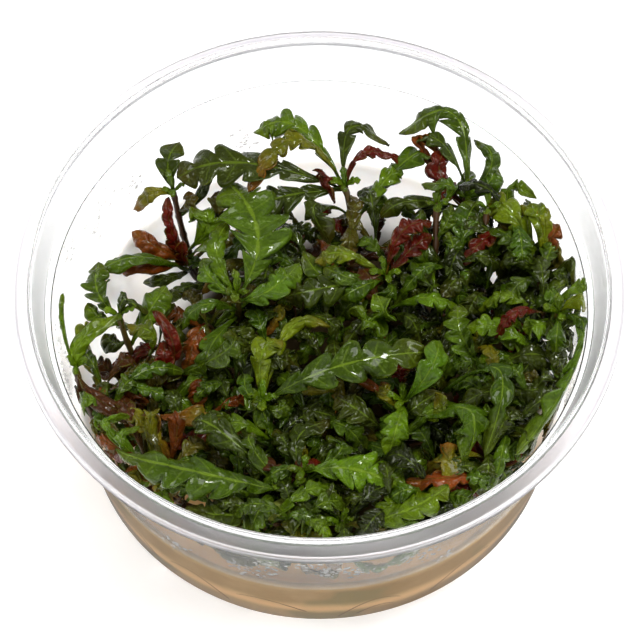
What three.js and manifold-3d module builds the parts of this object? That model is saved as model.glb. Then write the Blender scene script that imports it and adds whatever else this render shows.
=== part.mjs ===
// A clear plastic cup of plant jelly with a clump of fern-leaved hygrophila growing in it.
// Millimetres, +Z up. The origin is on the cup's axis, at the flat underside of its base.

import * as THREE from "three";
import { mergeVertices } from "three/addons/utils/BufferGeometryUtils.js";
import Module from "manifold-3d";

const wasm = await Module();
wasm.setup();

// Driving dimensions of the cup
const CUP_HEIGHT = 54.7;
const BASE_RADIUS = 47.2;
const BASE_ROUNDING = 1.8;
const WALL = 0.9;
const LEDGE_HEIGHT = 44.4;
const LEDGE_RADIUS = 51.9;
const LEDGE_STEP = 1.0;
const LIP_RADIUS = 55.2;
const LIP_WIDTH = 1.1;
const LIP_ROUNDING = 0.5;
const FLANGE_HEIGHT = 51.6;
const FLANGE_THICKNESS = 0.9;
const FLANGE_RADIUS = 58.2;
const SKIRT_DROP = 1.2;
const CUP_SIDES = 40;

// Driving dimensions of the jelly
const GEL_TOP = 17;
const MENISCUS_RISE = 2.6;
const MENISCUS_WIDTH = 5;
const MENISCUS_BEND = 0.3;
const ROOTING_DEPTH = 6;

// Driving dimensions of the stems, and the room between neighbours
const STEM_RADIUS = 0.85;
const STEM_SIDES = 6;
const STEM_STEPS = 4;
const STEM_END_SHARE = 0.12;
const GAP = 0.32;
const SLIVER = 0.02;

// Driving dimensions of the leaves; a share is of the leaf's length from its base, or of its width
const LEAF_HALF_THICKNESS = 0.42;
const MARGIN_THICKNESS = 0.25;
const MARGIN_CURL = 0.8;
const LOBE_DEPTH = 0.55;
const LOBE_SWEEP = 0.42;
const PETIOLE_SHARE = 0.1;
const PETIOLE_WIDTH = 0.1;
const WIDEST_SHARE = 0.45;
const TAPER_SHARE = 0.62;
const LAST_LOBE_SHARE = 0.85;
const LEAF_SIDES = 4;
const BEND_SHARE = 0.5;
const LARGE_LEAF_STEPS = 8;
const SMALL_LEAF_STEPS = 5;

// How far the leaves keep from the wall and the jelly, and the depth over which they bend away
const WALL_CLEARANCE = 0.7;
const WALL_EASING = 3;
const WALL_FLARE = 0.13;
const GEL_CLEARANCE = 0.5;
const GEL_EASING = 2;

const TINTS = {
  dark: 0x2f4a16,
  mid: 0x4d7a1e,
  bright: 0x6f9c22,
  light: 0x5f8a35,
  yellow: 0x9aa32c,
  olive: 0x5a5d24,
  brown: 0x4a3418,
  red: 0x7c2416,
  orange: 0x8a5a1c,
  tip: 0x7a7c22,
  pale: 0x7c8c5c,
};
const CUP_FINISH = { color: 0xe9ecee, roughness: 0.08, opacity: 0.3, transparent: true };
const GEL_FINISH = { color: 0xd9c2a4, roughness: 0.2, opacity: 0.8, transparent: true };
const SHOOT_ROUGHNESS = 0.45;
const LEAF_ROUGHNESS = 0.35;

// Each leaf is given by its midrib's base, middle and tip, its full width and its pairs of lobes.
// A large leaf is a piece of its own, and a small one is fused to its shoot.
function leafEntry(own, name, base, middle, tip, width, lobes, tint) {
  return { own, name, base, middle, tip, width, lobes, tint };
}
const large = (...entry) => leafEntry(true, ...entry);
const small = (...entry) => leafEntry(false, ...entry);

// The shoots, each with its stem from the jelly up, in whole millimetres
const SHOOTS = [
  {
    name: "shoot_back_left",
    stem: [[-24, 19, 18], [-27, 23, 30], [-29, 28, 41]],
    leaves: [
      small("fork", [-29, 29, 41], [-30, 32, 44], [-28, 37, 44], 5, 2, "dark"),
      small("yellow_tip", [-29, 28, 41], [-33, 26, 43], [-37, 25, 38], 3, 0, "tip"),
      small("bud", [-27, 24, 37], [-26, 25, 40], [-26, 28, 40], 3, 0, "olive"),
      small("red_up", [-26, 19, 25], [-29, 20, 36], [-30, 26, 41], 3, 5, "red"),
      small("obovate", [-26, 19, 28], [-32, 18, 35], [-37, 21, 36], 4, 0, "orange"),
      large("arch", [-26, 18, 26], [-36, 13, 40], [-45, 11, 35], 4, 0, "mid"),
      small("bright", [-26, 20, 31], [-22, 21, 39], [-25, 25, 39], 7, 4, "bright"),
    ],
  },
  {
    name: "shoot_left",
    stem: [[-31, -7, 18], [-36, -4, 28], [-39, 1, 39]],
    leaves: [
      large("feather", [-39, 1, 38], [-43, 4, 42], [-43, 11, 41], 6, 5, "mid"),
      small("side", [-39, 1, 36], [-42, 0, 38], [-45, 3, 39], 4, 0, "bright"),
      small("hoop", [-38, 0, 34], [-38, 2, 42], [-33, 2, 37], 3, 0, "dark"),
      small("lying", [-33, -6, 21], [-39, -4, 24], [-44, -4, 23], 4, 2, "brown"),
      large("red", [-32, -8, 22], [-36, -14, 31], [-39, -12, 32], 6, 3, "red"),
      small("pale", [-37, -2, 31], [-33, 2, 38], [-30, 8, 37], 5, 0, "bright"),
    ],
  },
  {
    name: "shoot_left_wall",
    stem: [[-43, -15, 18], [-46, -12, 30], [-47, -10, 37]],
    leaves: [
      small("wall", [-48, -10, 37], [-51, -5, 43], [-50, 1, 46], 3, 0, "bright"),
      small("stalk", [-48, -12, 30], [-47, -8, 40], [-39, -1, 41], 3, 0, "bright"),
      large("brown", [-48, -11, 36], [-42, -18, 38], [-32, -21, 35], 3, 0, "brown"),
      large("ruff", [-45, -16, 20], [-43, -19, 33], [-39, -21, 33], 6, 4, "bright"),
    ],
  },
  {
    name: "shoot_lower_left",
    stem: [[-30, -29, 18], [-31, -32, 30], [-32, -31, 36]],
    leaves: [
      small("hook", [-32, -32, 36], [-40, -26, 43], [-36, -23, 41], 3, 3, "bright"),
      small("hook2", [-32, -31, 36], [-37, -29, 43], [-34, -25, 41], 3, 3, "bright"),
      small("orange", [-30, -32, 33], [-32, -23, 42], [-31, -25, 37], 3, 3, "tip"),
      large("back", [-30, -31, 26], [-20, -23, 36], [-28, -22, 37], 5, 3, "tip"),
    ],
  },
  {
    name: "shoot_front_left",
    stem: [[-5, -35, 18], [-4, -36, 28], [-6, -36, 36]],
    leaves: [
      large("long", [-6, -36, 36], [-21, -37, 45], [-39, -32, 44], 11, 6, "mid"),
      large("low", [-6, -36, 33], [-15, -43, 40], [-25, -42, 40], 8, 5, "dark"),
      small("under", [-5, -36, 34], [-8, -33, 38], [-13, -29, 36], 3, 2, "brown"),
      small("pale", [-5, -36, 35], [-7, -40, 38], [-11, -41, 36], 4, 2, "pale"),
    ],
  },
  {
    name: "shoot_front",
    stem: [[5, -41, 18], [5, -43, 28], [4, -43, 36]],
    leaves: [
      large("feather", [4, -43, 36], [15, -44, 43], [24, -38, 42], 8, 5, "bright"),
      small("lobed", [4, -43, 35], [-2, -43, 40], [-7, -44, 38], 7, 4, "dark"),
      small("up", [4, -43, 35], [1, -40, 39], [-3, -38, 38], 4, 2, "mid"),
    ],
  },
  {
    name: "shoot_front_bright",
    stem: [[-4, -32, 18], [-3, -33, 30], [-3, -33, 38]],
    leaves: [
      large("blade", [-3, -33, 38], [6, -35, 43], [16, -38, 40], 10, 5, "bright"),
      small("bud", [-4, -32, 32], [2, -31, 37], [6, -27, 36], 4, 3, "mid"),
      small("dark", [-3, -33, 37], [-4, -26, 38], [2, -22, 37], 5, 3, "dark"),
    ],
  },
  {
    name: "shoot_centre_left",
    stem: [[-17, 5, 18], [-16, 4, 30], [-16, 6, 38]],
    leaves: [
      large("feather", [-16, 6, 38], [-12, 16, 43], [-18, 29, 42], 14, 5, "light"),
      small("left", [-17, 6, 36], [-21, 8, 40], [-23, 13, 39], 5, 3, "light"),
      small("upright", [-17, 7, 37], [-20, 12, 42], [-18, 20, 41], 4, 3, "bright"),
      large("right", [-16, 6, 36], [-10, 4, 42], [-4, 12, 39], 6, 3, "light"),
      large("twist", [-17, 5, 32], [-21, -6, 38], [-21, -10, 36], 5, 2, "mid"),
      small("saw", [-17, 4, 26], [-24, -4, 32], [-27, 2, 35], 5, 5, "dark"),
    ],
  },
  {
    name: "shoot_centre",
    stem: [[-10, -16, 18], [-11, -17, 28], [-11, -17, 36]],
    leaves: [
      large("across", [-11, -17, 36], [3, -15, 46], [21, -10, 43], 8, 5, "mid"),
      small("shiny", [-11, -17, 35], [-8, -20, 38], [-5, -16, 36], 3, 0, "mid"),
      small("back", [-11, -17, 34], [-14, -16, 39], [-14, -10, 37], 4, 2, "mid"),
      large("curl", [-11, -17, 34], [-11, -10, 42], [-7, -7, 42], 6, 3, "yellow"),
      small("yellow", [-11, -17, 32], [-6, -5, 42], [2, -3, 40], 3, 3, "yellow"),
      small("inner", [-12, -15, 33], [-15, -4, 34], [-12, 4, 32], 4, 0, "dark"),
    ],
  },
  {
    name: "shoot_back_red",
    stem: [[8, 22, 18], [7, 23, 32], [5, 30, 40]],
    leaves: [
      large("sweep", [4, 30, 40], [-15, 31, 46], [-28, 28, 45], 9, 5, "dark"),
      large("jagged", [5, 31, 40], [-4, 40, 45], [-13, 40, 43], 8, 6, "bright"),
      large("orange", [4, 31, 40], [-5, 35, 48], [-14, 26, 43], 4, 6, "tip"),
      small("loop", [5, 30, 39], [0, 30, 44], [3, 26, 39], 4, 4, "red"),
      large("arch", [5, 30, 40], [6, 39, 46], [14, 37, 43], 5, 3, "dark"),
      small("strand", [6, 30, 39], [9, 34, 45], [18, 34, 40], 3, 5, "red"),
      large("dark_fan", [4, 30, 38], [-6, 26, 42], [-12, 25, 39], 7, 4, "dark"),
      large("round", [5, 26, 35], [-1, 23, 43], [2, 17, 38], 7, 3, "dark"),
    ],
  },
  {
    name: "shoot_centre_back",
    stem: [[13, 9, 18], [13, 9, 30], [13, 10, 38]],
    leaves: [
      large("level", [12, 11, 38], [5, 12, 43], [-1, 11, 41], 5, 4, "yellow"),
      large("broad", [11, 9, 38], [2, 5, 42], [-7, 5, 38], 7, 4, "dark"),
      small("shine", [13, 9, 37], [8, 5, 42], [4, 4, 39], 4, 0, "mid"),
      large("red", [13, 11, 38], [16, 15, 46], [22, 19, 43], 5, 5, "red"),
      small("red2", [13, 11, 38], [18, 13, 43], [22, 17, 41], 4, 4, "red"),
      small("down", [13, 10, 36], [14, 4, 42], [10, 3, 37], 4, 2, "mid"),
    ],
  },
  {
    name: "shoot_right_back",
    stem: [[30, 25, 18], [29, 25, 32], [29, 27, 40]],
    leaves: [
      large("arch", [29, 27, 40], [27, 41, 48], [16, 39, 44], 9, 5, "mid"),
      small("lobe", [29, 28, 41], [34, 31, 46], [31, 38, 44], 3, 0, "mid"),
      small("side", [30, 27, 39], [33, 27, 44], [35, 31, 44], 5, 0, "mid"),
      large("rosette", [28, 26, 38], [24, 30, 43], [25, 35, 44], 5, 3, "red"),
      small("spike", [28, 26, 37], [18, 24, 43], [12, 23, 38], 5, 2, "dark"),
    ],
  },
  {
    name: "shoot_mid",
    stem: [[24, 8, 18], [23, 12, 32], [23, 23, 45]],
    leaves: [
      small("left", [23, 13, 34], [20, 14, 40], [21, 18, 41], 4, 0, "mid"),
      small("right", [23, 13, 34], [26, 14, 40], [25, 18, 41], 4, 0, "mid"),
      small("upleft", [23, 18, 39], [20, 18, 43], [20, 22, 43], 3, 0, "mid"),
      small("upright", [23, 18, 39], [25, 19, 43], [26, 23, 43], 3, 0, "mid"),
      large("top", [23, 22, 45], [26, 24, 48], [20, 26, 46], 5, 3, "mid"),
    ],
  },
  {
    name: "shoot_right",
    stem: [[33, 8, 18], [32, 12, 32], [33, 22, 45]],
    leaves: [
      small("left", [32, 15, 35], [29, 18, 42], [31, 23, 44], 5, 0, "mid"),
      large("right", [33, 15, 35], [37, 17, 42], [35, 22, 44], 5, 0, "olive"),
      small("lowleft", [32, 9, 29], [29, 11, 37], [30, 16, 39], 5, 0, "mid"),
      small("lowright", [33, 9, 29], [37, 11, 37], [36, 16, 39], 5, 0, "dark"),
    ],
  },
  {
    name: "shoot_far_right",
    stem: [[42, 7, 18], [44, 9, 30], [43, 13, 38]],
    leaves: [
      large("broad", [42, 13, 38], [38, 19, 45], [33, 23, 44], 6, 3, "yellow"),
      small("yellow", [43, 13, 38], [43, 18, 46], [39, 22, 44], 4, 0, "yellow"),
      small("red", [44, 11, 35], [45, 15, 43], [50, 19, 44], 5, 2, "orange"),
      large("back", [44, 10, 32], [49, 9, 46], [51, 4, 43], 6, 2, "dark"),
      small("across", [43, 8, 31], [42, 2, 42], [49, 6, 43], 4, 0, "mid"),
    ],
  },
  {
    name: "shoot_right_top",
    stem: [[39, 4, 18], [44, 0, 36], [46, -3, 45]],
    leaves: [
      small("wing", [45, -3, 43], [49, -3, 51], [54, -4, 49], 5, 2, "yellow"),
      large("claw", [46, -3, 45], [51, -9, 52], [53, -14, 47], 6, 3, "mid"),
      small("hang", [46, -3, 45], [45, -9, 48], [45, -11, 43], 5, 2, "mid"),
      large("great", [46, -2, 45], [51, -18, 54], [37, -32, 42], 12, 6, "light"),
    ],
  },
  {
    name: "shoot_right_mid",
    stem: [[36, -7, 18], [34, -8, 28], [34, -10, 36]],
    leaves: [
      large("lying", [34, -10, 36], [40, -10, 42], [46, -11, 39], 6, 3, "dark"),
      small("gloss", [34, -10, 35], [39, -17, 41], [44, -14, 38], 4, 0, "dark"),
      small("tipped", [34, -10, 30], [37, -20, 38], [44, -18, 37], 4, 0, "tip"),
      small("crimson", [34, -10, 33], [39, -5, 40], [37, -1, 40], 3, 0, "red"),
      large("blade", [33, -10, 31], [28, -5, 38], [27, 2, 40], 6, 5, "light"),
    ],
  },
  {
    name: "shoot_right_front",
    stem: [[34, -28, 18], [34, -31, 30], [34, -31, 38]],
    leaves: [
      large("veined", [34, -31, 31], [32, -27, 38], [39, -23, 38], 7, 4, "dark"),
      small("low", [34, -31, 34], [31, -36, 41], [26, -32, 39], 5, 3, "mid"),
    ],
  },
  {
    name: "shoot_middle",
    stem: [[16, -18, 18], [16, -19, 30], [16, -17, 36]],
    leaves: [
      large("bright", [16, -19, 36], [15, -25, 44], [13, -31, 40], 6, 4, "bright"),
      small("dark", [12, -22, 34], [8, -22, 41], [3, -18, 40], 7, 4, "dark"),
      large("light", [16, -16, 37], [21, -15, 45], [23, -7, 42], 5, 2, "light"),
      large("curled", [24, -16, 38], [34, -17, 48], [31, -31, 40], 5, 4, "mid"),
      large("big_curl", [16, -22, 33], [28, -24, 46], [27, -34, 38], 8, 4, "mid"),
      small("across", [15, -21, 32], [18, -20, 39], [23, -16, 38], 5, 3, "dark"),
    ],
  },
];

const UP = new THREE.Vector3(0, 0, 1);
const vector = (point) => new THREE.Vector3(...point);

// The outer face of the wall below the ledge, and the inner face all the way up
const outerRadius = (z) => BASE_RADIUS + ((LEDGE_RADIUS - BASE_RADIUS) * z) / LEDGE_HEIGHT;
const innerRadius = (z) => outerRadius(z) - WALL;
const gelSurface = (radius) => {
  const reach = Math.max(0, radius - (innerRadius(GEL_TOP) - MENISCUS_WIDTH)) / MENISCUS_WIDTH;
  return GEL_TOP + MENISCUS_RISE * Math.min(1, reach) ** 2;
};

// A closed geometry as a solid for joining and cutting
function solidOf(geometry) {
  const plain = geometry.clone();
  plain.deleteAttribute("normal");
  plain.deleteAttribute("uv");
  const merged = mergeVertices(plain, 1e-4);
  const corners = [];
  for (let i = 0; i < merged.index.count; i += 3) {
    const [a, b, c] = [0, 1, 2].map((k) => merged.index.getX(i + k));
    if (a !== b && b !== c && c !== a) corners.push(a, b, c);
  }
  const mesh = new wasm.Mesh({
    numProp: 3,
    vertProperties: new Float32Array(merged.attributes.position.array),
    triVerts: new Uint32Array(corners),
  });
  return new wasm.Manifold(mesh);
}

// A solid back as a geometry, without the slivers that its cuts left
function geometryOf(solid) {
  const { vertProperties, triVerts, numProp } = solid.simplify(SLIVER).getMesh();
  const points = new Float32Array((vertProperties.length / numProp) * 3);
  for (let i = 0; i < points.length / 3; i++) {
    points.set(vertProperties.subarray(i * numProp, i * numProp + 3), i * 3);
  }
  const geometry = new THREE.BufferGeometry();
  geometry.setAttribute("position", new THREE.BufferAttribute(points, 3));
  geometry.setIndex(new THREE.BufferAttribute(triVerts, 1));
  geometry.computeVertexNormals();
  return geometry;
}

function lathe(profile) {
  const outline = profile.map(([radius, height]) => new THREE.Vector2(radius, height));
  return new THREE.LatheGeometry(outline, CUP_SIDES).rotateX(Math.PI / 2);
}

// The cup's section, from the middle of its underside up the outside and down the inside
function cupGeometry() {
  const flangeTop = FLANGE_HEIGHT + FLANGE_THICKNESS;
  const skirtFoot = FLANGE_HEIGHT - SKIRT_DROP;
  const shoulder = LEDGE_RADIUS + LEDGE_STEP;
  const innerLedge = LEDGE_HEIGHT + WALL / 3;
  return lathe([
    [0, 0],
    [BASE_RADIUS - BASE_ROUNDING, 0],
    [outerRadius(BASE_ROUNDING), BASE_ROUNDING],
    [LEDGE_RADIUS, LEDGE_HEIGHT],
    [shoulder, LEDGE_HEIGHT + LEDGE_STEP],
    [LIP_RADIUS - WALL, FLANGE_HEIGHT],
    [FLANGE_RADIUS - WALL, FLANGE_HEIGHT],
    [FLANGE_RADIUS - WALL, skirtFoot],
    [FLANGE_RADIUS, skirtFoot],
    [FLANGE_RADIUS, flangeTop],
    [LIP_RADIUS, flangeTop],
    [LIP_RADIUS, CUP_HEIGHT - LIP_ROUNDING],
    [LIP_RADIUS - LIP_ROUNDING, CUP_HEIGHT],
    [LIP_RADIUS - LIP_WIDTH, CUP_HEIGHT - LIP_ROUNDING / 2],
    [shoulder - WALL, innerLedge + LEDGE_STEP],
    [innerRadius(LEDGE_HEIGHT), innerLedge],
    [innerRadius(BASE_ROUNDING), BASE_ROUNDING],
    [BASE_RADIUS - BASE_ROUNDING, WALL],
    [0, WALL],
  ]);
}

// The jelly fills the cup to its surface, climbs the wall a little and leaves room for each root and stem.
function gelSolid(stemRooms) {
  const edge = (z) => innerRadius(z) - GAP;
  const floor = WALL + GAP;
  const brim = GEL_TOP + MENISCUS_RISE;
  const bend = edge(GEL_TOP) - MENISCUS_WIDTH * MENISCUS_BEND;
  const block = solidOf(lathe([
    [0, floor],
    [BASE_RADIUS - BASE_ROUNDING - GAP, floor],
    [edge(BASE_ROUNDING + GAP), BASE_ROUNDING + GAP],
    [edge(brim), brim],
    [bend, gelSurface(bend)],
    [edge(GEL_TOP) - MENISCUS_WIDTH, GEL_TOP],
    [0, GEL_TOP],
  ]));
  return stemRooms.reduce((gel, room) => gel.subtract(room), block);
}

// Keeps a point off the wall and off the jelly without letting a leaf turn inside out
function keptInside(point) {
  const radius = Math.hypot(point.x, point.y);
  const flare = WALL_FLARE * Math.max(0, point.z - LEDGE_HEIGHT);
  const wall = innerRadius(Math.min(point.z, LEDGE_HEIGHT)) + flare;
  const free = wall - WALL_CLEARANCE - WALL_EASING;
  if (radius > free) {
    const eased = free + WALL_EASING * (1 - Math.exp((free - radius) / WALL_EASING));
    point.x *= eased / radius;
    point.y *= eased / radius;
  }
  const ground = gelSurface(Math.hypot(point.x, point.y)) + GEL_CLEARANCE;
  if (point.z < ground + GEL_EASING) {
    point.z = ground + GEL_EASING * Math.exp((point.z - ground - GEL_EASING) / GEL_EASING);
  }
  return point;
}

// The Bezier curve that passes through three points, the second one half way along
function curveThrough(start, middle, end) {
  const knee = middle.clone().multiplyScalar(2).addScaledVector(start, -0.5).addScaledVector(end, -0.5);
  return new THREE.QuadraticBezierCurve3(start, knee, end);
}

// The stem's line, from its root in the jelly through the table's three points
function stemCurve(shoot) {
  const free = curveThrough(...shoot.stem.map(vector));
  const lead = free.getTangent(0);
  const root = free.v0.clone().addScaledVector(lead, -ROOTING_DEPTH / lead.z);
  const curve = new THREE.CurvePath();
  curve.add(new THREE.LineCurve3(root, free.v0));
  curve.add(free);
  return curve;
}

// The stem as a six-sided tube, or with an extra width the room that it needs
function stemSolid(shoot, extra = 0) {
  const section = new THREE.Shape();
  for (let i = 0; i < STEM_SIDES; i++) {
    const angle = (i / STEM_SIDES) * 2 * Math.PI;
    const radius = STEM_RADIUS + extra;
    section[i ? "lineTo" : "moveTo"](radius * Math.cos(angle), radius * Math.sin(angle));
  }
  const line = stemCurve(shoot);
  const [root, free] = line.curves;
  root.v1.addScaledVector(root.getTangent(0), -extra);
  free.v2.addScaledVector(free.getTangent(1), extra);
  return solidOf(new THREE.ExtrudeGeometry(section, {
    steps: STEM_STEPS,
    extrudePath: line,
    bevelEnabled: false,
  }));
}

// The point on the stem's faceted line that lies nearest to the one asked for, short of the stem's end
function onStem(shoot, wanted) {
  const joints = stemCurve(shoot).getSpacedPoints(STEM_STEPS);
  joints[STEM_STEPS].lerp(joints[STEM_STEPS - 1], STEM_END_SHARE);
  const spots = joints.slice(2).map((joint, i) => {
    return new THREE.Line3(joints[i + 1], joint).closestPointToPoint(wanted, true, new THREE.Vector3());
  });
  return spots.sort((a, b) => a.distanceTo(wanted) - b.distanceTo(wanted))[0];
}

const smooth = (low, high, x) => {
  const t = THREE.MathUtils.clamp((x - low) / (high - low), 0, 1);
  return t * t * (3 - 2 * t);
};

// Half the leaf's width at a share u of its length
function halfWidth(leaf, u) {
  const swell = PETIOLE_WIDTH + (1 - PETIOLE_WIDTH) * smooth(PETIOLE_SHARE / 2, WIDEST_SHARE, u);
  const taper = Math.max(0, u - TAPER_SHARE) / (1 - TAPER_SHARE);
  const blade = Math.max(0, u - PETIOLE_SHARE) / (1 - PETIOLE_SHARE);
  const wave = (1 + Math.cos(2 * Math.PI * leaf.lobes * blade)) / 2;
  const notch = leaf.lobes ? LOBE_DEPTH * wave * (1 - smooth(LAST_LOBE_SHARE, 1, u)) : 0;
  return (leaf.width / 2) * swell * Math.sqrt(1 - taper ** 2) * (1 - notch);
}

// The radius of a Bezier curve's bend at a share u of it
function bendRadius(curve, u) {
  const { v0, v1, v2 } = curve;
  const speed = v1.clone().sub(v0).multiplyScalar(2 * (1 - u)).addScaledVector(v2.clone().sub(v1), 2 * u);
  const turn = v0.clone().add(v2).addScaledVector(v1, -2).multiplyScalar(2);
  return speed.length() ** 3 / Math.max(speed.clone().cross(turn).length(), 1e-6);
}

// A leaf is a flattened four-sided tube: a ridge on top, one below and two margins that droop.
// Its midrib runs from the stem through the table's middle to its tip. Where it turns sharply it is narrow.
function leafSolid(shoot, leaf, extra = 0) {
  const rib = curveThrough(onStem(shoot, vector(leaf.base)), vector(leaf.middle), vector(leaf.tip));
  const steps = leaf.own ? Math.max(LARGE_LEAF_STEPS, 2 * leaf.lobes + 1) : SMALL_LEAF_STEPS;
  const geometry = new THREE.CylinderGeometry(1, 1, 1, LEAF_SIDES, steps, true);
  const place = geometry.attributes.position;
  const level = rib.v2.clone().sub(rib.v0).cross(UP).normalize();
  for (let i = 0; i < place.count; i++) {
    const row = Math.round((0.5 + place.getY(i)) * steps);
    const u = row / steps;
    const along = rib.getTangent(u);
    const side = level.clone().addScaledVector(along, -level.dot(along)).normalize();
    const up = side.clone().cross(along);
    const across = Math.round(place.getX(i));
    const above = Math.round(place.getZ(i));
    const point = rib.getPoint(u);
    if (row === 0 || row === steps) {
      point.addScaledVector(along, (row ? 2 : -2) * extra);
    } else {
      const bend = bendRadius(rib, u) * BEND_SHARE;
      const reach = Math.min(halfWidth(leaf, u) + MARGIN_THICKNESS, bend) + 2 * extra;
      const thick = Math.min(LEAF_HALF_THICKNESS, bend / 2) + extra;
      const droop = Math.abs(across) * reach * ((1 - Math.cos(MARGIN_CURL)) / MARGIN_CURL);
      point.addScaledVector(side, across * reach * (Math.sin(MARGIN_CURL) / MARGIN_CURL));
      point.addScaledVector(up, above * thick - droop);
      point.addScaledVector(along, Math.abs(across) * reach * LOBE_SWEEP * (1 - u * u));
    }
    keptInside(point);
    place.setXYZ(i, point.x, point.y, point.z);
  }
  return solidOf(geometry);
}

const meets = (a, b) => {
  const [p, q] = [a.boundingBox(), b.boundingBox()];
  return [0, 1, 2].every((k) => p.min[k] <= q.max[k] && q.min[k] <= p.max[k]);
};

// The solid less all that lies in its way, as one body: the one that holds the most
function clearedOf(solid, rooms) {
  const left = rooms.filter((room) => meets(solid, room)).reduce((kept, room) => kept.subtract(room), solid);
  return left.decompose().sort((a, b) => b.volume() - a.volume())[0];
}

// A shoot with small leaves has the mean of their colours and its stem's.
function shootColor(fused) {
  const tints = ["brown", ...fused.map((leaf) => leaf.tint)].map((tint) => new THREE.Color(TINTS[tint]));
  return tints.reduce((sum, tint) => sum.add(tint)).multiplyScalar(1 / tints.length);
}

function mesh(name, geometry, finish) {
  const made = new THREE.Mesh(geometry, new THREE.MeshStandardMaterial({ metalness: 0, ...finish }));
  made.name = name;
  return made;
}

const plant = new THREE.Group();
const rooms = [];
for (const shoot of SHOOTS) {
  const fused = shoot.leaves.filter((leaf) => !leaf.own);
  const whole = fused.reduce((body, leaf) => body.add(leafSolid(shoot, leaf)), stemSolid(shoot));
  const finish = { color: shootColor(fused), roughness: SHOOT_ROUGHNESS };
  plant.add(mesh(shoot.name, geometryOf(clearedOf(whole, rooms)), finish));
  rooms.push(stemSolid(shoot, GAP), ...fused.map((leaf) => leafSolid(shoot, leaf, GAP)));
}
for (const shoot of SHOOTS) {
  for (const leaf of shoot.leaves.filter((one) => one.own)) {
    const name = shoot.name.replace("shoot", "leaf") + "_" + leaf.name;
    const finish = { color: TINTS[leaf.tint], roughness: LEAF_ROUGHNESS };
    plant.add(mesh(name, geometryOf(clearedOf(leafSolid(shoot, leaf), rooms)), finish));
    rooms.push(leafSolid(shoot, leaf, GAP));
  }
}

const group = new THREE.Group();
group.add(mesh("cup", cupGeometry(), CUP_FINISH));
group.add(mesh("gel", geometryOf(gelSolid(SHOOTS.map((shoot) => stemSolid(shoot, GAP)))), GEL_FINISH));
group.add(plant);

export default group;
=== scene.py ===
"""A clear cup of plant jelly with a clump of fern-leaved hygrophila, laid out as an add-on."""

import collections
import math
import random

import bmesh
import bpy
from mathutils import Matrix, Vector, noise


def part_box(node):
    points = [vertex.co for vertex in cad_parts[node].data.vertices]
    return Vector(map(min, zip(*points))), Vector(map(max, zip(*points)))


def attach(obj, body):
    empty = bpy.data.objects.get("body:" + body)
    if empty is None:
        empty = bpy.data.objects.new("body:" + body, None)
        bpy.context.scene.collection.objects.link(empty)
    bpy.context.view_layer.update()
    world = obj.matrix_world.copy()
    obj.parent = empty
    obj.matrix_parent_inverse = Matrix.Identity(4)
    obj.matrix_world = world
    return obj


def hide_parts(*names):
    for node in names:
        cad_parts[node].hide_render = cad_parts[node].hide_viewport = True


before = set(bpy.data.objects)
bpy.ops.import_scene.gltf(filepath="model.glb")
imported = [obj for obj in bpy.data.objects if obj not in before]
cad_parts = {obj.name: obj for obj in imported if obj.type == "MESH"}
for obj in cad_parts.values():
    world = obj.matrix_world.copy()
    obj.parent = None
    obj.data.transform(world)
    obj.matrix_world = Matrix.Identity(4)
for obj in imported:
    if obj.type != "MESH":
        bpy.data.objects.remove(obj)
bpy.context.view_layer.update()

bl_info = {
    "name": "Hygrophila Culture Cup",
    "version": (1, 0, 0),
    "blender": (4, 5, 0),
    "location": "3D View > Sidebar > Culture Cup",
    "description": "Builds a clear cup of plant jelly with a clump of fern-leaved hygrophila in it",
    "category": "Object",
}

MM = 0.001
UP = Vector((0, 0, 1))
TUBE_SIDE = Vector((0.31, 0.95, 0.05))
CUP_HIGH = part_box("cup")[1]

# The jelly's surface, which rises where it meets the wall
GEL_TOP = 17 * MM
MENISCUS_RISE = 2.6 * MM
MENISCUS_WIDTH = 5 * MM
CONTACT = 0.06 * MM
ROOTING_DEPTH = 6 * MM
CLUMP_FOOT = (6 * MM, -4 * MM, GEL_TOP)

# The wall's section: how far most corners and the flange's edge are rounded, how near a corner its supporting
# points stand, and heights between its corners
CORNER = 0.3 * MM
EDGE_ROUNDING = 0.4 * MM
SUPPORT = 0.25 * MM
STEPS = [height * MM for height in (8, 15, 22, 29, 36)]
SHARP_ANGLE = math.radians(25)

# How far the leaves keep from the wall and the jelly, and the depth over which they bend away
WALL_CLEARANCE = 0.5 * MM
WALL_EASING = 3 * MM
WALL_FLARE = 0.13
GEL_CLEARANCE = 0.4 * MM
GEL_EASING = 2 * MM

# A leaf's outline; a share is of its length from its base, or of its width
PETIOLE_SHARE = 0.1
PETIOLE_WIDTH = 0.1
WIDEST_SHARE = 0.45
TAPER_SHARE = 0.62
LAST_LOBE_SHARE = 0.85
STEM_END_SHARE = 0.12
PLAIN_LEAF_RIBS = 4
PETIOLE_ROWS = 3
LOBE_ROUNDNESS = 0.45

# A leaf's relief: margins that stand up between the notches and wave, shares of the half width, then blisters
# between the ribs, the groove of the midrib and the crinkles
CRIMP_SHARE = 0.22
WAVE_SHARE = 0.24
BLISTER = 0.35 * MM
GROOVE = 0.20 * MM
CRINKLE = 0.8 * MM

# How much broader a leaf is drawn than it is entered, unless it has one of these names
FULLNESS = 1.15
SMALL_LEAVES = ("lower", "side", "young")

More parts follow.
